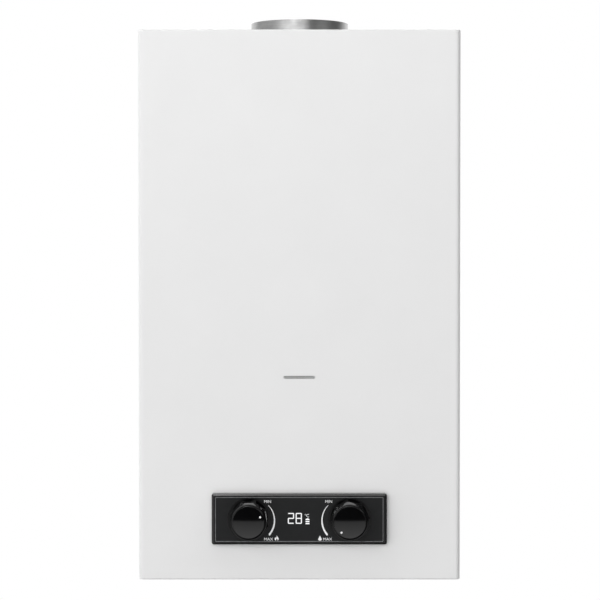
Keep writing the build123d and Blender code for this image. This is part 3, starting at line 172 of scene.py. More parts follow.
# Metals, plastics and inks that differ only in colour, polish and grain share one recipe: a colour pair mixed
# by noise and roughness that follows it, and where set a bump, weaker reflections or a painted glow
finishes = {
    # zinc electroplate on a screw: bright, with a faint yellow cast
    "zincPlatedScrew": {"pair": ("#A7A89F", "#D4D4CC"), "grainMm": 0.5, "rough": (0.22, 0.36), "metal": 1.0},
    # baked paint on punched sheet: an even, flat pale grey
    "paintedPerforatedSteel": {"pair": ("#BDBEBE", "#CBCBCB"), "grainMm": 0.6, "rough": (0.45, 0.55)},
    # drawn copper, brushed: warm, with darker patches where it has dulled
    "brushedCopper": {"pair": ("#9A5B3E", "#CB8A63"), "grainMm": 6.0, "rough": (0.28, 0.46), "metal": 1.0},
    # burner steel that has been hot: straw and brown clouds
    "heatTintedSteel": {"pair": ("#6F655C", "#A79F95"), "grainMm": 8.0, "rough": (0.32, 0.5), "metal": 1.0},
    # die-cast aluminium: a dull grey skin with fine grit
    "castAluminium": {"pair": ("#8B8D8F", "#B9BBBD"), "grainMm": 0.9, "rough": (0.45, 0.62), "metal": 1.0,
                      "bump": 0.3},
    # brass bar turned on a lathe: warm yellow with soft reflections
    "machinedBrass": {"pair": ("#B58E4A", "#CAA560"), "grainMm": 1.4, "rough": (0.24, 0.34), "metal": 1.0,
                      "bump": 0.06},
    # nickel plate: bright and a little warm
    "nickelPlatedSteel": {"pair": ("#A3A19A", "#CFCDC6"), "grainMm": 3.0, "rough": (0.2, 0.3), "metal": 1.0},
    # glazed alumina: cream white with a wet gloss
    "glazedCeramic": {"pair": ("#E9E4D8", "#F4F0E6"), "grainMm": 4.0, "rough": (0.1, 0.2)},
    # extruded silicone: nearly black and matt
    "siliconeRubber": {"pair": ("#2A2826", "#3A3734"), "grainMm": 0.7, "rough": (0.55, 0.7), "bump": 0.1},
    # moulded filled polyester: dark grey with a dull, gritty skin
    "filledPolyester": {"pair": ("#26282B", "#34373B"), "grainMm": 0.8, "rough": (0.45, 0.6), "bump": 0.2},
    # plastic moulded in a blasted tool: mid grey with a fine grain
    "greyMouldedPlastic": {"pair": ("#83868A", "#94979B"), "grainMm": 0.7, "rough": (0.42, 0.56),
                           "bump": 0.2},
    # shrunk film: dark blue with a smooth sheen
    "printedCellSleeve": {"pair": ("#1D2B45", "#27385A"), "grainMm": 5.0, "rough": (0.25, 0.35)},
    # lacquer on a circuit board: green and half gloss
    "solderMask": {"pair": ("#0C4A2B", "#14623B"), "grainMm": 1.2, "rough": (0.3, 0.42)},
    # ABS from a fine-grained tool: nearly black with a close sheen
    "blackSatinAbs": {"pair": ("#0A0A0B", "#0F0F10"), "grainMm": 0.5, "rough": (0.17, 0.22), "bump": 0.03},
    # smoked acrylic with a dulled face: dark grey, reflections weak and blurred
    "smokedAcrylic": {"pair": ("#151617", "#18191A"), "grainMm": 9.0, "rough": (0.36, 0.42),
                      "specular": 0.22},
    # polished ABS: black with sharp reflections
    "glossBlackAbs": {"pair": ("#040405", "#070708"), "grainMm": 5.0, "rough": (0.05, 0.08)},
    # ABS as moulded: black, with weaker reflections than the polished caps
    "blackMouldedAbs": {"pair": ("#040405", "#070708"), "grainMm": 5.0, "rough": (0.06, 0.1),
                        "specular": 0.27},
    # screen ink: flat white, with a painted glow that keeps it bright in the knobs' shadows
    "whiteScreenInk": {"pair": ("#D8D9DA", "#E4E4E4"), "grainMm": 0.3, "rough": (0.5, 0.6), "paintedGlow": 0.3},
    # mid grey on the fascia's edge bead: a painted highlight along the edge, satin so it also catches real
    # light
    "paintedHighlightBead": {"pair": ("#6C6D6F", "#868788"), "grainMm": 2.0, "rough": (0.3, 0.4)},
    # filling paint: plain white and half matt
    "whiteDotPaint": {"pair": ("#EDEDED", "#FAFAFA"), "grainMm": 0.3, "rough": (0.4, 0.5)},
}
sharedLook = {"metal": 0.0, "specular": 0.5, "span": (0.35, 0.65), "bumpDeep": 0.05 * mm}


def grainedFinish(name):
    look = {**sharedLook, **finishes[name]}
    material, tree, place = startMaterial(name)
    grain = addNode(tree, "ShaderNodeTexNoise",
                    {"Vector": place, "Scale": perMetre(look["grainMm"]), "Detail": 3})
    tint = addNode(tree, "ShaderNodeValToRGB", {"Fac": grain.outputs["Fac"]})
    for stop, position, colour in zip(tint.color_ramp.elements, look["span"], look["pair"]):
        stop.position = position
        stop.color = toLinear(colour)
    gloss = addNode(tree, "ShaderNodeMapRange",
                    {"Value": grain.outputs["Fac"], "To Min": look["rough"][1], "To Max": look["rough"][0]})
    surface = {"Base Color": tint.outputs["Color"], "Roughness": gloss.outputs["Result"],
               "Metallic": look["metal"], "Specular IOR Level": look["specular"]}
    if "bump" in look:
        bump = addNode(tree, "ShaderNodeBump",
                       {"Height": grain.outputs["Fac"], "Strength": look["bump"],
                        "Distance": look["bumpDeep"]})
        surface["Normal"] = bump.outputs["Normal"]
    # painted glow: the finish gives off its own colour as light
    if "paintedGlow" in look:
        surface["Emission Color"] = tint.outputs["Color"]
        surface["Emission Strength"] = look["paintedGlow"]
    endMaterial(tree, surface)
    return material


# Lit display segments: white light through the smoked plate
glow = {"colour": "#FDFEFF", "unlit": "#2A2B2D", "strength": 0.97, "grainMm": 1.0, "rough": (0.35, 0.45)}


def litSegment():
    material, tree, place = startMaterial("litSegment")
    grain = addNode(tree, "ShaderNodeTexNoise", {"Vector": place, "Scale": perMetre(glow["grainMm"])})
    gloss = addNode(tree, "ShaderNodeMapRange",
                    {"Value": grain.outputs["Fac"], "To Min": glow["rough"][0], "To Max": glow["rough"][1]})
    endMaterial(tree, {"Base Color": toLinear(glow["unlit"]), "Roughness": gloss.outputs["Result"],
                       "Emission Color": toLinear(glow["colour"]), "Emission Strength": glow["strength"]})
    return material


slotFinish = {
    "case_enamel": whitePowderCoat(),
    "zinc_steel": galvanisedSheet(),
    "flue_steel": rolledFlueSteel(),
    "screw_steel": grainedFinish("zincPlatedScrew"),
    "mesh_steel": grainedFinish("paintedPerforatedSteel"),
    "copper": grainedFinish("brushedCopper"),
    "burner_steel": grainedFinish("heatTintedSteel"),
    "cast_aluminium": grainedFinish("castAluminium"),
    "brass": grainedFinish("machinedBrass"),
    "solenoid_steel": grainedFinish("nickelPlatedSteel"),
    "ceramic": grainedFinish("glazedCeramic"),
    "lead_rubber": grainedFinish("siliconeRubber"),
    "controller_plastic": grainedFinish("filledPolyester"),
    "battery_plastic": grainedFinish("greyMouldedPlastic"),
    "cell_jacket": grainedFinish("printedCellSleeve"),
    "panel_plastic": grainedFinish("blackSatinAbs"),
    "fascia_acrylic": grainedFinish("smokedAcrylic"),
    "circuit_board": grainedFinish("solderMask"),
    "knob_plastic": grainedFinish("blackMouldedAbs"),
}
faceFinish = grainedFinish("glossBlackAbs")
inkFinish = grainedFinish("whiteScreenInk")
# mid grey finish for the painted highlight on the fascia's edge bead
beadHighlightFinish = grainedFinish("paintedHighlightBead")
dotFinish = grainedFinish("whiteDotPaint")
segmentFinish = litSegment()

for subpart in frame["record"]["subparts"]:
    node = nodes[subpart["node"]]
    node.data.materials.clear()
    node.data.materials.append(slotFinish[subpart["material_slot"]])
print("finishes assigned:", len(slotFinish))

# Places taken from the frame: the fascia's face and the two knob axes
fasciaLow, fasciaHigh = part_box("panel_fascia")
faceY = fasciaLow.y
panelX = (fasciaLow.x + fasciaHigh.x) / 2
panelZ = (fasciaLow.z + fasciaHigh.z) / 2
knobBoxes = {"gas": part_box("gas_knob"), "water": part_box("water_knob")}
knobAxis = {side: ((low.x + high.x) / 2, (low.z + high.z) / 2) for side, (low, high) in knobBoxes.items()}
frontTurn = (math.pi / 2, 0, 0)  # stands a flat shape up, facing the front
inkThick = 0.06 * mm
weldGap = {"print": 0.001 * mm, "lathe": 0.002 * mm}  # points closer than this are merged


def deselectAll():
    if bpy.context.object and bpy.context.object.mode != "OBJECT":
        bpy.ops.object.mode_set(mode="OBJECT")
    bpy.ops.object.select_all(action="DESELECT")


def selectOnly(piece):
    deselectAll()
    piece.select_set(True)
    bpy.context.view_layer.objects.active = piece


def editAll():
    bpy.ops.object.mode_set(mode="EDIT")
    bpy.ops.mesh.select_all(action="SELECT")


def selectVertices(piece, wanted):
    # marked in object mode, for the next operator in edit mode
    chosen = {vertex.index for vertex in piece.data.vertices if wanted(vertex)}
    for vertex in piece.data.vertices:
        vertex.select = vertex.index in chosen
    for part in (*piece.data.edges, *piece.data.polygons):
        part.select = chosen.issuperset(part.vertices)


def activePiece(name):
    piece = bpy.context.object
    piece.name = name
    piece.data.name = name
    return piece


def applyPlace(piece):
    # the piece's place goes into its mesh, so the object sits at the origin
    selectOnly(piece)
    bpy.ops.object.transform_apply(location=True, rotation=True, scale=True)


def copyPiece(piece):
    selectOnly(piece)
    bpy.ops.object.duplicate()
    return bpy.context.object


def joinPieces(pieces, name):
    deselectAll()
    for piece in pieces:
        piece.select_set(True)
    bpy.context.view_layer.objects.active = pieces[0]
    bpy.ops.object.join()
    return activePiece(name)


def finishPiece(piece, material, body):
    applyPlace(piece)
    piece.data.materials.clear()
    piece.data.materials.append(material)
    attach(piece, body)


def thicken(piece, thickness):
    # a flat shape gets its thickness towards the front
    selectOnly(piece)
    editAll()
    bpy.ops.mesh.remove_doubles(threshold=weldGap["print"])
    bpy.ops.mesh.normals_make_consistent(inside=False)
    bpy.ops.mesh.extrude_region_move(TRANSFORM_OT_translate={"value": (0, -thickness, 0)})
    bpy.ops.mesh.select_all(action="SELECT")
    bpy.ops.mesh.normals_make_consistent(inside=False)
    bpy.ops.object.mode_set(mode="OBJECT")


def finishPrint(piece, material):
    thicken(piece, inkThick)
    finishPiece(piece, material, "heater")


def flatBar(name, x, z, width, height, corner, steps=1):
    # a flat plate on the fascia, facing the front, with its corners cut or rounded
    deselectAll()
    bpy.ops.mesh.primitive_plane_add(size=1, location=(x, faceY, z), rotation=frontTurn)
    bar = activePiece(name)
    bar.scale = (width, height, 1)
    applyPlace(bar)
    editAll()
    bpy.ops.mesh.bevel(offset=corner, affect="VERTICES", segments=steps)
    bpy.ops.object.mode_set(mode="OBJECT")
    return bar


def latheLine(name, line, centre, axis, turns):
    # a line of points turned once round its axis
    deselectAll()
    bpy.ops.mesh.primitive_plane_add(size=mm, location=line[0])
    piece = activePiece(name)
    editAll()
    bpy.ops.mesh.merge(type="CENTER")
    for before, after in zip(line, line[1:]):
        step = [a - b for a, b in zip(after, before)]
        bpy.ops.mesh.extrude_region_move(TRANSFORM_OT_translate={"value": step})
    bpy.ops.mesh.select_all(action="SELECT")
    bpy.ops.mesh.spin(steps=turns, angle=2 * math.pi, center=centre, axis=axis)
    bpy.ops.mesh.select_all(action="SELECT")
    bpy.ops.mesh.remove_doubles(threshold=weldGap["lathe"])
    bpy.ops.mesh.normals_make_consistent(inside=False)
    bpy.ops.object.mode_set(mode="OBJECT")
    bpy.ops.object.shade_smooth_by_angle()
    return piece


# Threaded tails below the case: half-inch pipe thread, hexagon and bore in place of the frame's plain bars
pipeTail = {"pitch": 1.814 * mm, "root": 9.316 * mm, "crest": 10.4775 * mm, "lead": 0.5 * mm, "teeth": 7,
            "flat": 0.2, "bore": 7.5 * mm, "neck": 9.5 * mm, "thread": 14.0 * mm, "hexFlats": 26.0 * mm,
            "hexTall": 9.0 * mm, "hexWall": 5.0 * mm, "edge": 0.5 * mm, "edgeSteps": 2, "turns": 72}
endNormal = 0.99  # a face whose normal is this close to upright is an end of the hexagon


def tailSection(low, high, hexHigh):
    # radius and height along the wall: up the threads, past the hexagon to the neck, and down the bore
    threadLow = low.z + pipeTail["lead"]
    crestLow, crestHigh = 0.5 - pipeTail["flat"] / 2, 0.5 + pipeTail["flat"] / 2
    section = [(pipeTail["bore"], low.z), (pipeTail["root"], low.z)]
    for tooth in range(pipeTail["teeth"]):
        start = threadLow + tooth * pipeTail["pitch"]
        for radius, share in (("root", 0), ("crest", crestLow), ("crest", crestHigh)):
            section.append((pipeTail[radius], start + share * pipeTail["pitch"]))
    section += [(pipeTail["root"], threadLow + pipeTail["teeth"] * pipeTail["pitch"]),
                (pipeTail["root"], hexHigh), (pipeTail["neck"], hexHigh), (pipeTail["neck"], high.z),
                (pipeTail["bore"], high.z), (pipeTail["bore"], low.z)]
    return section


def buildTail():
    # modelled once at the gas tail's place
    low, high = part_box("gas_tail")
    middleX, middleY = (low.x + high.x) / 2, (low.y + high.y) / 2
    hexLow = low.z + pipeTail["thread"]
    hexHigh = hexLow + pipeTail["hexTall"]
    hexTurn = math.pi / 6 if high.x - low.x > high.y - low.y else 0  # corners the same way as the frame's
    line = [(middleX + radius, middleY, z) for radius, z in tailSection(low, high, hexHigh)]
    core = latheLine("tailCore", line, (middleX, middleY, low.z), (0, 0, 1), pipeTail["turns"])
    deselectAll()
    bpy.ops.mesh.primitive_cylinder_add(vertices=6, radius=pipeTail["hexFlats"] / math.sqrt(3),
                                        depth=pipeTail["hexTall"], rotation=(0, 0, hexTurn),
                                        location=(middleX, middleY, (hexLow + hexHigh) / 2))
    nut = activePiece("tailHexagon")
    applyPlace(nut)
    editAll()
    bpy.ops.mesh.bevel(offset=pipeTail["edge"], segments=pipeTail["edgeSteps"], affect="EDGES")
    bpy.ops.mesh.select_all(action="DESELECT")
    bpy.ops.object.mode_set(mode="OBJECT")
    for face in nut.data.polygons:
        face.select = abs(face.normal.z) > endNormal
    bpy.ops.object.mode_set(mode="EDIT")
    bpy.ops.mesh.inset(thickness=pipeTail["hexWall"] - pipeTail["edge"], use_even_offset=True)
    bpy.ops.mesh.bridge_edge_loops()
    bpy.ops.mesh.select_all(action="SELECT")
    bpy.ops.mesh.normals_make_consistent(inside=False)
    bpy.ops.object.mode_set(mode="OBJECT")
    bpy.ops.object.shade_smooth_by_angle()
    return joinPieces([core, nut], "gasThreadedTail")


def copyTail(first, name, node):
    copyPiece(first)
    piece = activePiece(name)
    piece.location.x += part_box(node)[0].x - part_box("gas_tail")[0].x
    piece.location.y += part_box(node)[0].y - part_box("gas_tail")[0].y
    return piece


gasTail = buildTail()
tails = {"gas_tail": gasTail, "cold_tail": copyTail(gasTail, "coldThreadedTail", "cold_tail"),
         "hot_tail": copyTail(gasTail, "hotThreadedTail", "hot_tail")}
for node, piece in tails.items():
    finishPiece(piece, slotFinish["brass"], "heater")
    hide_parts(node)
print("tails built")

# Cover screws: pan heads with a cross recess in place of the frame's plain heads, profile in millimetres
coverScrew = {"profile": ((0.0, 2.2), (1.7, 2.14), (2.6, 1.96), (3.25, 1.62), (3.72, 1.12), (4.0, 0.45),
                          (4.0, 0.0), (2.0, 0.0), (2.0, -6.2), (1.2, -7.0), (0.0, -7.0)),
              "crownX": 125.0 * mm, "slotLong": 4.2 * mm, "slotWide": 0.95 * mm, "slotDeep": 1.3 * mm,
              "turns": 48}


def buildScrew():
    # modelled once at the origin, head up, with two crossed slots cut down from the top
    line = [(radius * mm, 0, height * mm) for radius, height in coverScrew["profile"]]
    screw = latheLine("coverScrewSet", line, (0, 0, 0), (0, 0, 1), coverScrew["turns"])
    applyPlace(screw)
    for turn in (0, math.pi / 2):
        deselectAll()
        bpy.ops.mesh.primitive_cube_add(size=1, location=line[0], rotation=(0, 0, turn))
        cutter = activePiece("recessCutter")
        cutter.scale = (coverScrew["slotLong"], coverScrew["slotWide"], 2 * coverScrew["slotDeep"])
        applyPlace(cutter)
        selectOnly(screw)
        recess = screw.modifiers.new("recess", "BOOLEAN")
        recess.solver = "EXACT"
        recess.object = cutter
        bpy.ops.object.modifier_apply(modifier=recess.name)
        selectOnly(cutter)
        bpy.ops.object.delete()
    return screw


def placeScrews(first):
    low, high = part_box("cover_screws")
    middleY = (low.y + high.y) / 2
    headTall = coverScrew["profile"][0][1] * mm
    lipX = high.x - max(radius for radius, height in coverScrew["profile"]) * mm
    crownX = coverScrew["crownX"]
    places = [(-crownX, high.z - headTall, 0), (crownX, high.z - headTall, 0),
              (-lipX, low.z + headTall, math.pi), (lipX, low.z + headTall, math.pi)]
    screws = [first] + [copyPiece(first) for place in places[1:]]
    for screw, (x, z, turn) in zip(screws, places):
        screw.location = (x, middleY, z)
        screw.rotation_euler.x = turn
        applyPlace(screw)
    screwSet = joinPieces(screws, "coverScrewSet")
    bpy.ops.object.shade_smooth_by_angle()
    finishPiece(screwSet, slotFinish["screw_steel"], "heater")
    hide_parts("cover_screws")


placeScrews(buildScrew())
print("screws built")

# Raised bead round the fascia's edge, where the panel catches a thin line of light; its mid grey is a painted
# highlight
highlightBead = {"width": 167.7 * mm, "height": 44.6 * mm, "drop": 0.2 * mm, "corner": 1.0 * mm, "cornerSteps": 6,
           "stroke": 0.62 * mm, "rise": 0.24 * mm, "round": 0.16 * mm, "roundSteps": 3}


def buildHighlightBead():
    line = flatBar("fasciaBead", panelX, panelZ - highlightBead["drop"], highlightBead["width"], highlightBead["height"],
                   highlightBead["corner"], highlightBead["cornerSteps"])
    editAll()
    bpy.ops.mesh.inset(thickness=highlightBead["stroke"], use_even_offset=True)
    bpy.ops.mesh.delete(type="FACE")
    bpy.ops.object.mode_set(mode="OBJECT")
    thicken(line, highlightBead["rise"])
    selectOnly(line)
    rounding = line.modifiers.new("rounding", "BEVEL")
    rounding.width = highlightBead["round"]
    rounding.segments = highlightBead["roundSteps"]
    rounding.limit_method = "ANGLE"
    bpy.ops.object.modifier_apply(modifier=rounding.name)
    bpy.ops.object.shade_smooth_by_angle()
    finishPiece(line, beadHighlightFinish, "heater")


# Dial scales: crescents that swell from MIN to MAX beside each knob, angles in degrees
dialScale = {"radius": 21.8 * mm, "shift": {"gas": 3.5 * mm, "water": 5.6 * mm}, "drop": 1.2 * mm,
             "minAngle": 44.0, "maxAngle": -42.0, "halfStroke": 0.62 * mm, "swell": 0.54 * mm, "steps": 28,
             "endRound": 0.75 * mm, "endSteps": 5}


def buildDialScale(side, direction):
    # direction +1 puts the crescent right of its knob, -1 left of it
    axisX, axisZ = knobAxis[side]
    centreX = axisX + direction * dialScale["shift"][side]
    sweep = math.radians(dialScale["minAngle"] - dialScale["maxAngle"])
    start = math.radians(dialScale["minAngle"])
    deselectAll()
    bpy.ops.mesh.primitive_plane_add(size=mm)
    scale = activePiece(side + "DialScale")
    editAll()
    bpy.ops.mesh.delete(type="VERT")
    for edge in (1, -1):
        radius = dialScale["radius"] + edge * dialScale["halfStroke"]
        centreZ = axisZ - dialScale["drop"] - edge * dialScale["swell"]
        point = (centreX + direction * radius * math.cos(start), faceY, centreZ + radius * math.sin(start))
        bpy.ops.mesh.select_all(action="DESELECT")
        bpy.ops.mesh.primitive_plane_add(size=mm, location=point)
        bpy.ops.mesh.merge(type="CENTER")
        bpy.ops.mesh.spin(steps=dialScale["steps"], angle=-direction * sweep,
                          center=(centreX, faceY, centreZ), axis=(0, 1, 0))
    bpy.ops.mesh.select_all(action="SELECT")
    bpy.ops.mesh.bridge_edge_loops()
    bpy.ops.object.mode_set(mode="OBJECT")

    def angleRound(vertex):
        return math.atan2(vertex.co.z - axisZ, direction * (vertex.co.x - centreX))

    ends = [vertex.index for vertex in sorted(scale.data.vertices, key=angleRound)[:2]]
    selectVertices(scale, lambda vertex: vertex.index in ends)
    bpy.ops.object.mode_set(mode="EDIT")
    bpy.ops.mesh.bevel(offset=dialScale["endRound"], affect="VERTICES", segments=dialScale["endSteps"])
    bpy.ops.object.mode_set(mode="OBJECT")
    finishPrint(scale, inkFinish)


# Words beside the scales and the lit degree mark, placed from the panel's middle and set to a given size
words = {
    "gasMinWord": {"text": "MIN", "x": -31.6 * mm, "z": 17.75 * mm, "width": 6.8 * mm, "height": 2.7 * mm},
    "waterMinWord": {"text": "MIN", "x": 29.3 * mm, "z": 17.75 * mm, "width": 6.8 * mm, "height": 2.7 * mm},
    "gasMaxWord": {"text": "MAX", "x": -30.6 * mm, "z": -19.85 * mm, "width": 8.8 * mm, "height": 2.7 * mm},
    "waterMaxWord": {"text": "MAX", "x": 28.3 * mm, "z": -19.85 * mm, "width": 8.8 * mm, "height": 2.7 * mm},
    "degreeMark": {"text": "°C", "x": 7.6 * mm, "z": 3.6 * mm, "width": 4.0 * mm, "height": 3.3 * mm,
                   "finish": segmentFinish},
}
letterSteps = 4


def spanOf(places):
    low, high = min(places), max(places)
    return high - low, (high + low) / 2


def buildWord(name):
    word = words[name]
    deselectAll()
    bpy.ops.object.text_add(rotation=frontTurn)
    piece = activePiece(name)
    piece.data.body = word["text"]
    piece.data.align_x = "CENTER"
    piece.data.align_y = "CENTER"
    piece.data.resolution_u = letterSteps
    bpy.ops.object.convert(target="MESH")
    applyPlace(piece)
    spanX, middleX = spanOf([vertex.co.x for vertex in piece.data.vertices])
    spanZ, middleZ = spanOf([vertex.co.z for vertex in piece.data.vertices])
    piece.scale = (word["width"] / spanX, 1, word["height"] / spanZ)
    piece.location = (panelX + word["x"] - middleX * piece.scale.x, faceY,
                      panelZ + word["z"] - middleZ * piece.scale.z)
    applyPlace(piece)
    finishPrint(piece, word.get("finish", inkFinish))


# Seven-segment digits: bars with cut corners and a hair of dark between them
digits = {"wide": 5.2 * mm, "rise": 4.9 * mm, "stroke": 1.02 * mm, "gap": 0.12 * mm, "z": 0.9 * mm,
          "lapShare": 0.5, "cutShare": 0.36, "places": {"2": -8.3 * mm, "8": -0.5 * mm}}
# each segment's middle in shares of the width and the rise, and whether it stands upright
segmentPlaces = {"top": (0, 1, False), "middle": (0, 0, False), "bottom": (0, -1, False),
                 "upperLeft": (-0.5, 0.5, True), "upperRight": (0.5, 0.5, True),
                 "lowerLeft": (-0.5, -0.5, True), "lowerRight": (0.5, -0.5, True)}
litSegments = {"2": ("top", "upperRight", "middle", "lowerLeft", "bottom"), "8": tuple(segmentPlaces)}


def buildDigit(character):
    bars = []
    stroke = digits["stroke"]
    for segment in litSegments[character]:
        across, up, upright = segmentPlaces[segment]
        length = (digits["rise"] if upright else digits["wide"]) + stroke * digits["lapShare"] - digits["gap"]
        size = (stroke, length) if upright else (length, stroke)
        bars.append(flatBar("bar", panelX + digits["places"][character] + across * digits["wide"],
                            panelZ + digits["z"] + up * digits["rise"], *size, digits["cutShare"] * stroke))
    finishPrint(joinPieces(bars, "displayDigit" + character), segmentFinish)


# Battery mark: three bars, the top one with a peak
cellMark = {"x": 8.2 * mm, "z": -2.3 * mm, "width": 3.9 * mm, "bar": 1.2 * mm, "pitch": 2.02 * mm,
            "peak": 0.7 * mm, "corner": 0.15 * mm, "cornerSteps": 2}
nearTop = 0.01 * mm  # a point this near to the bar's top is on its top edge
nearMiddle = 0.1 * mm


def buildCellMark():
    middleX = panelX + cellMark["x"]
    bars = [flatBar("bar", middleX, panelZ + cellMark["z"] + step * cellMark["pitch"], cellMark["width"],
                    cellMark["bar"], cellMark["corner"], cellMark["cornerSteps"]) for step in (-1, 0, 1)]
    top = bars[-1]
    topLine = max(vertex.co.z for vertex in top.data.vertices) - nearTop
    selectOnly(top)
    selectVertices(top, lambda vertex: vertex.co.z > topLine)
    bpy.ops.object.mode_set(mode="EDIT")
    bpy.ops.mesh.subdivide(number_cuts=1)
    bpy.ops.mesh.select_mode(type="VERT")
    bpy.ops.mesh.select_all(action="DESELECT")
    bpy.ops.object.mode_set(mode="OBJECT")
    selectVertices(top, lambda vertex: vertex.co.z > topLine and abs(vertex.co.x - middleX) < nearMiddle)
    bpy.ops.object.mode_set(mode="EDIT")
    bpy.ops.transform.translate(value=(0, 0, cellMark["peak"]))
    bpy.ops.object.mode_set(mode="OBJECT")
    finishPrint(joinPieces(bars, "batteryMark"), segmentFinish)


# Flame and drop marks: filled outlines, points as shares of the mark's width and height, True at a sharp tip
marks = {
    "flameMark": {"x": -22.6 * mm, "z": -18.85 * mm, "width": 4.1 * mm, "height": 5.3 * mm,
                  "points": ((-0.18, -0.5, True), (-0.46, -0.26, False), (-0.44, 0.02, False),
                             (-0.26, 0.24, True), (-0.2, 0.04, False), (-0.02, 0.2, False), (0.02, 0.5, True),
                             (0.3, 0.18, False), (0.5, -0.16, False), (0.2, -0.5, True), (0.22, -0.28, False),
                             (0.04, -0.04, True), (-0.14, -0.28, False))},
    "dropMark": {"x": 20.6 * mm, "z": -18.85 * mm, "width": 3.5 * mm, "height": 5.2 * mm,
                 "points": ((0.0, 0.5, True), (-0.34, 0.02, False), (-0.5, -0.22, False), (0.0, -0.5, False),
                            (0.5, -0.22, False), (0.34, 0.02, False))},
}
markSteps = 6


def buildMark(name):
    mark = marks[name]
    deselectAll()
    bpy.ops.curve.primitive_bezier_circle_add(radius=0.5, rotation=frontTurn)
    piece = activePiece(name)
    piece.data.dimensions = "2D"
    piece.data.fill_mode = "BOTH"
    piece.data.resolution_u = markSteps
    line = piece.data.splines[0]
    line.bezier_points.add(len(mark["points"]) - len(line.bezier_points))
    for point, (across, up, sharp) in zip(line.bezier_points, mark["points"]):
        point.co = (across, up, 0)
        point.handle_left_type = point.handle_right_type = "VECTOR" if sharp else "AUTO"
    bpy.ops.object.convert(target="MESH")
    piece.scale = (mark["width"], mark["height"], 1)
    piece.location = (panelX + mark["x"], faceY, panelZ + mark["z"])
    applyPlace(piece)
    finishPrint(piece, inkFinish)


# Knob faces: a polished crowned disc set in the end of each knob
knobFace = {"radius": 15.5 * mm, "dome": 0.6 * mm, "thick": 0.3 * mm, "rings": 12, "turns": 144}


def buildKnobFace(side):
    low, high = knobBoxes[side]
    axisX, axisZ = knobAxis[side]
    radius, dome = knobFace["radius"], knobFace["dome"]
    ball = (radius ** 2 + dome ** 2) / (2 * dome)
    reach = math.asin(radius / ball)
    back = low.y + dome + knobFace["thick"]
    line = [(axisX, back, axisZ), (axisX + radius, back, axisZ)]
    for step in range(knobFace["rings"] + 1):
        turn = reach * (1 - step / knobFace["rings"])
        line.append((axisX + ball * math.sin(turn), low.y + ball * (1 - math.cos(turn)), axisZ))
    disc = latheLine(side + "KnobFace", line, (axisX, high.y, axisZ), (0, 1, 0), knobFace["turns"])
    finishPiece(disc, faceFinish, side + "_control")


# White paint that fills each knob's pointer dimple, a hair proud of the crowned face, angles in degrees
pointerDot = {"radius": 1.08 * mm, "circle": 12.8 * mm, "depth": 0.3 * mm, "proud": 0.1 * mm, "turns": 32,
              "edge": 0.08 * mm, "edgeSteps": 2, "angle": {"gas": 24.8, "water": 229.6}}


def buildPointerDot(side):
    axisX, axisZ = knobAxis[side]
    angle = math.radians(pointerDot["angle"][side])
    faceDrop = knobFace["dome"] * (pointerDot["circle"] / knobFace["radius"]) ** 2
    place = (axisX + pointerDot["circle"] * math.cos(angle),
             knobBoxes[side][0].y + faceDrop - pointerDot["proud"] + pointerDot["depth"] / 2,
             axisZ + pointerDot["circle"] * math.sin(angle))
    deselectAll()
    bpy.ops.mesh.primitive_cylinder_add(vertices=pointerDot["turns"], radius=pointerDot["radius"],
                                        depth=pointerDot["depth"], location=place, rotation=frontTurn)
    dot = activePiece(side + "PointerDot")
    applyPlace(dot)
    editAll()
    bpy.ops.mesh.bevel(offset=pointerDot["edge"], segments=pointerDot["edgeSteps"])
    bpy.ops.object.mode_set(mode="OBJECT")
    bpy.ops.object.shade_smooth_by_angle()
    finishPiece(dot, dotFinish, side + "_control")


buildHighlightBead()
buildDialScale("gas", 1)
buildDialScale("water", -1)
for wordName in words:
    buildWord(wordName)
for character in litSegments:
    buildDigit(character)
buildCellMark()
for markName in marks:
    buildMark(markName)
for side in knobAxis:
    buildKnobFace(side)
    buildPointerDot(side)
print("panel print built")

# Studio floor: pale and faintly lit, far enough below that the heater hangs clear of it
studioFloor = {"drop": 2.45, "back": 3.5, "front": 5.0, "half": 6.0, "colour": "#ECECEC", "glow": 0.68,
               "cloudMm": 500, "rough": (0.7, 0.8)}


def buildFloor():
    deselectAll()
    middleY = (studioFloor["back"] - studioFloor["front"]) / 2
    bpy.ops.mesh.primitive_plane_add(size=1, location=(0, middleY, -studioFloor["drop"]))
    floor = activePiece("studioFloor")
    floor.scale = (2 * studioFloor["half"], studioFloor["back"] + studioFloor["front"], 1)
    applyPlace(floor)
    material, tree, place = startMaterial("paleFloor")
    cloud = addNode(tree, "ShaderNodeTexNoise", {"Vector": place, "Scale": perMetre(studioFloor["cloudMm"])})
    gloss = addNode(tree, "ShaderNodeMapRange",
                    {"Value": cloud.outputs["Fac"], "To Min": studioFloor["rough"][0],
                     "To Max": studioFloor["rough"][1]})
    colour = toLinear(studioFloor["colour"])
    endMaterial(tree, {"Base Color": colour, "Roughness": gloss.outputs["Result"],
                       "Emission Color": colour, "Emission Strength": studioFloor["glow"]})
    floor.data.materials.append(material)
    floor.visible_diffuse = False
    floor.visible_glossy = False


# Lit card low in front, seen in the lower half of the gloss knobs
bounceCard = {"y": -2.5, "top": -0.75, "bottom": -1.85, "half": 1.3, "topGlow": 0.58, "bottomGlow": 2.1,
              "colour": "#2A2A2A", "light": "#FFFFFF"}


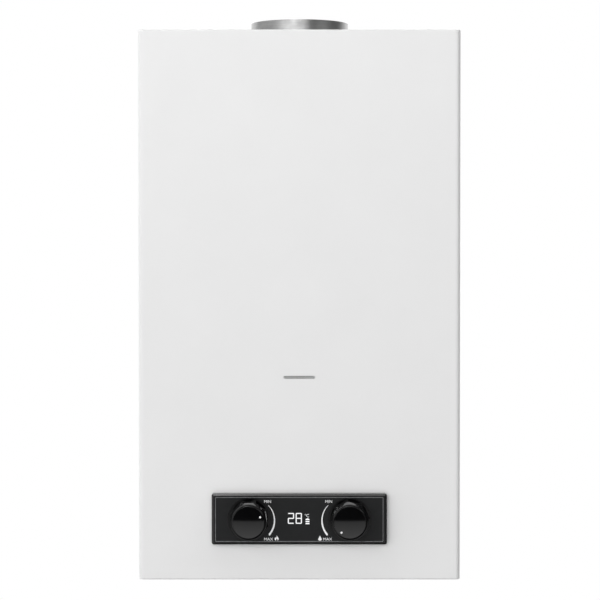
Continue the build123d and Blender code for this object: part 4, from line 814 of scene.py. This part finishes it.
def buildBounceCard():
    deselectAll()
    middleZ = (bounceCard["top"] + bounceCard["bottom"]) / 2
    bpy.ops.mesh.primitive_plane_add(size=1, location=(0, bounceCard["y"], middleZ),
                                     rotation=(-math.pi / 2, 0, 0))
    card = activePiece("bounceCard")
    card.scale = (2 * bounceCard["half"], bounceCard["top"] - bounceCard["bottom"], 1)
    applyPlace(card)
    material, tree, place = startMaterial("litCard")
    height = addNode(tree, "ShaderNodeSeparateXYZ", {"Vector": place}).outputs["Z"]
    fade = addNode(tree, "ShaderNodeMapRange",
                   {"Value": height, "From Min": bounceCard["bottom"], "From Max": bounceCard["top"],
                    "To Min": bounceCard["bottomGlow"], "To Max": bounceCard["topGlow"]})
    endMaterial(tree, {"Base Color": toLinear(bounceCard["colour"]),
                       "Emission Color": toLinear(bounceCard["light"]),
                       "Emission Strength": fade.outputs["Result"]})
    card.data.materials.append(material)
    card.visible_camera = False


# Room seen in reflections: each side's glow changes over a span of the view's direction along one axis
backdrop = {"colour": "#FFFFFF", "strength": 1.0}
roomGlow = {
    "above": {"axis": "Z", "span": (0.1, 0.8), "glow": (0.03, 0.28)},
    "behind": {"axis": "Y", "span": (0.3, 0.75), "glow": (0.0, 1.7)},
    "left": {"axis": "X", "span": (-0.9, -0.15), "glow": (0.85, 0.0)},
    "right": {"axis": "X", "span": (0.3, 0.9), "glow": (0.0, 0.12)},
}


def buildWorld():
    # the camera sees plain white; reflections see a dim room, each way as light as its lightest side
    world = bpy.data.worlds.new("studioWorld")
    bpy.context.scene.world = world
    world.use_nodes = True
    tree = world.node_tree
    tree.nodes.clear()
    towards = addNode(tree, "ShaderNodeTexCoord").outputs["Generated"]
    direction = addNode(tree, "ShaderNodeSeparateXYZ", {"Vector": towards})
    lightest = 0.0
    for side in roomGlow.values():
        part = addNode(tree, "ShaderNodeMapRange",
                       {"Value": direction.outputs[side["axis"]],
                        "From Min": side["span"][0], "From Max": side["span"][1],
                        "To Min": side["glow"][0], "To Max": side["glow"][1]})
        both = addNode(tree, "ShaderNodeMath", {0: lightest, 1: part.outputs["Result"]}, operation="MAXIMUM")
        lightest = both.outputs["Value"]
    colour = toLinear(backdrop["colour"])
    room = addNode(tree, "ShaderNodeBackground", {"Color": colour, "Strength": lightest})
    sheet = addNode(tree, "ShaderNodeBackground", {"Color": colour, "Strength": backdrop["strength"]})
    seen = addNode(tree, "ShaderNodeLightPath").outputs["Is Camera Ray"]
    mix = addNode(tree, "ShaderNodeMixShader",
                  {0: seen, 1: room.outputs["Background"], 2: sheet.outputs["Background"]})
    addNode(tree, "ShaderNodeOutputWorld", {"Surface": mix.outputs["Shader"]})


# Soft light from the front, above and the left; the low fill lightens the white case and isn't mirrored
softboxes = {
    "keyLight": {"place": (-1.2, -2.2, 0.4), "aim": (0.0, -0.1, -0.25), "size": (1.7, 1.3), "power": 11.8},
    "overheadLeft": {"place": (-0.5, -0.53, 1.56), "aim": (-0.5, -0.4, -0.4), "size": (0.68, 0.27),
                     "power": 6.0},
    "overheadRight": {"place": (0.18, -0.53, 1.56), "aim": (0.18, -0.4, -0.4), "size": (0.68, 0.27),
                      "power": 1.8},
    "frontCard": {"place": (-0.15, -3.0, 0.62), "aim": (-0.15, -0.1, -0.1), "size": (2.0, 1.0),
                  "power": 21.0},
    "lowFill": {"place": (0.05, -2.4, -0.25), "aim": (0.05, -0.1, -0.25), "size": (1.8, 1.0), "power": 5.8,
                "mirrored": False},
    "fillLight": {"place": (1.9, -1.3, 1.0), "aim": (0.0, -0.1, -0.25), "size": (1.0, 1.0), "power": 5.2},
}


def aimAt(thing, target):
    ahead = [t - p for t, p in zip(target, thing.location)]
    flat = math.hypot(ahead[0], ahead[1])
    thing.rotation_euler = (math.atan2(flat, -ahead[2]), 0, math.atan2(ahead[1], ahead[0]) - math.pi / 2)


def buildLights():
    for name, box in softboxes.items():
        bpy.ops.object.light_add(type="AREA", location=box["place"])
        light = bpy.context.object
        light.name = name
        light.data.shape = "RECTANGLE"
        light.data.size, light.data.size_y = box["size"]
        light.data.energy = box["power"]
        light.visible_camera = False
        light.visible_glossy = box.get("mirrored", True)
        aimAt(light, box["aim"])


# Camera: in front and above the middle, tipped down a little, the rest of the framing by a small shift;
# height and frameMiddle are from the case's lower edge, frameWidth is what the picture spans at its front
camera = {"distance": 1.9, "height": 0.345, "aside": 0.01, "tilt": math.radians(1.3), "sensorMm": 36,
          "frameWidth": 0.599, "frameMiddle": 0.2804, "frameX": 0.0007}


def buildCamera():
    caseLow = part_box("front_cover")[0]
    place = (camera["aside"], caseLow.y - camera["distance"], caseLow.z + camera["height"])
    bpy.ops.object.camera_add(location=place, rotation=(math.pi / 2 - camera["tilt"], 0, 0))
    view = bpy.context.object
    view.name = "photoCamera"
    view.data.sensor_width = camera["sensorMm"]
    view.data.lens = camera["sensorMm"] * camera["distance"] / camera["frameWidth"]
    view.data.shift_x = (camera["frameX"] - camera["aside"]) / camera["frameWidth"]
    downward = math.atan((camera["height"] - camera["frameMiddle"]) / camera["distance"])
    view.data.shift_y = -math.tan(downward - camera["tilt"]) * camera["distance"] / camera["frameWidth"]
    bpy.context.scene.camera = view


buildFloor()
buildBounceCard()
buildWorld()
deselectAll()
buildLights()
buildCamera()
bpy.context.scene.view_settings.view_transform = "Standard"
print("studio set")
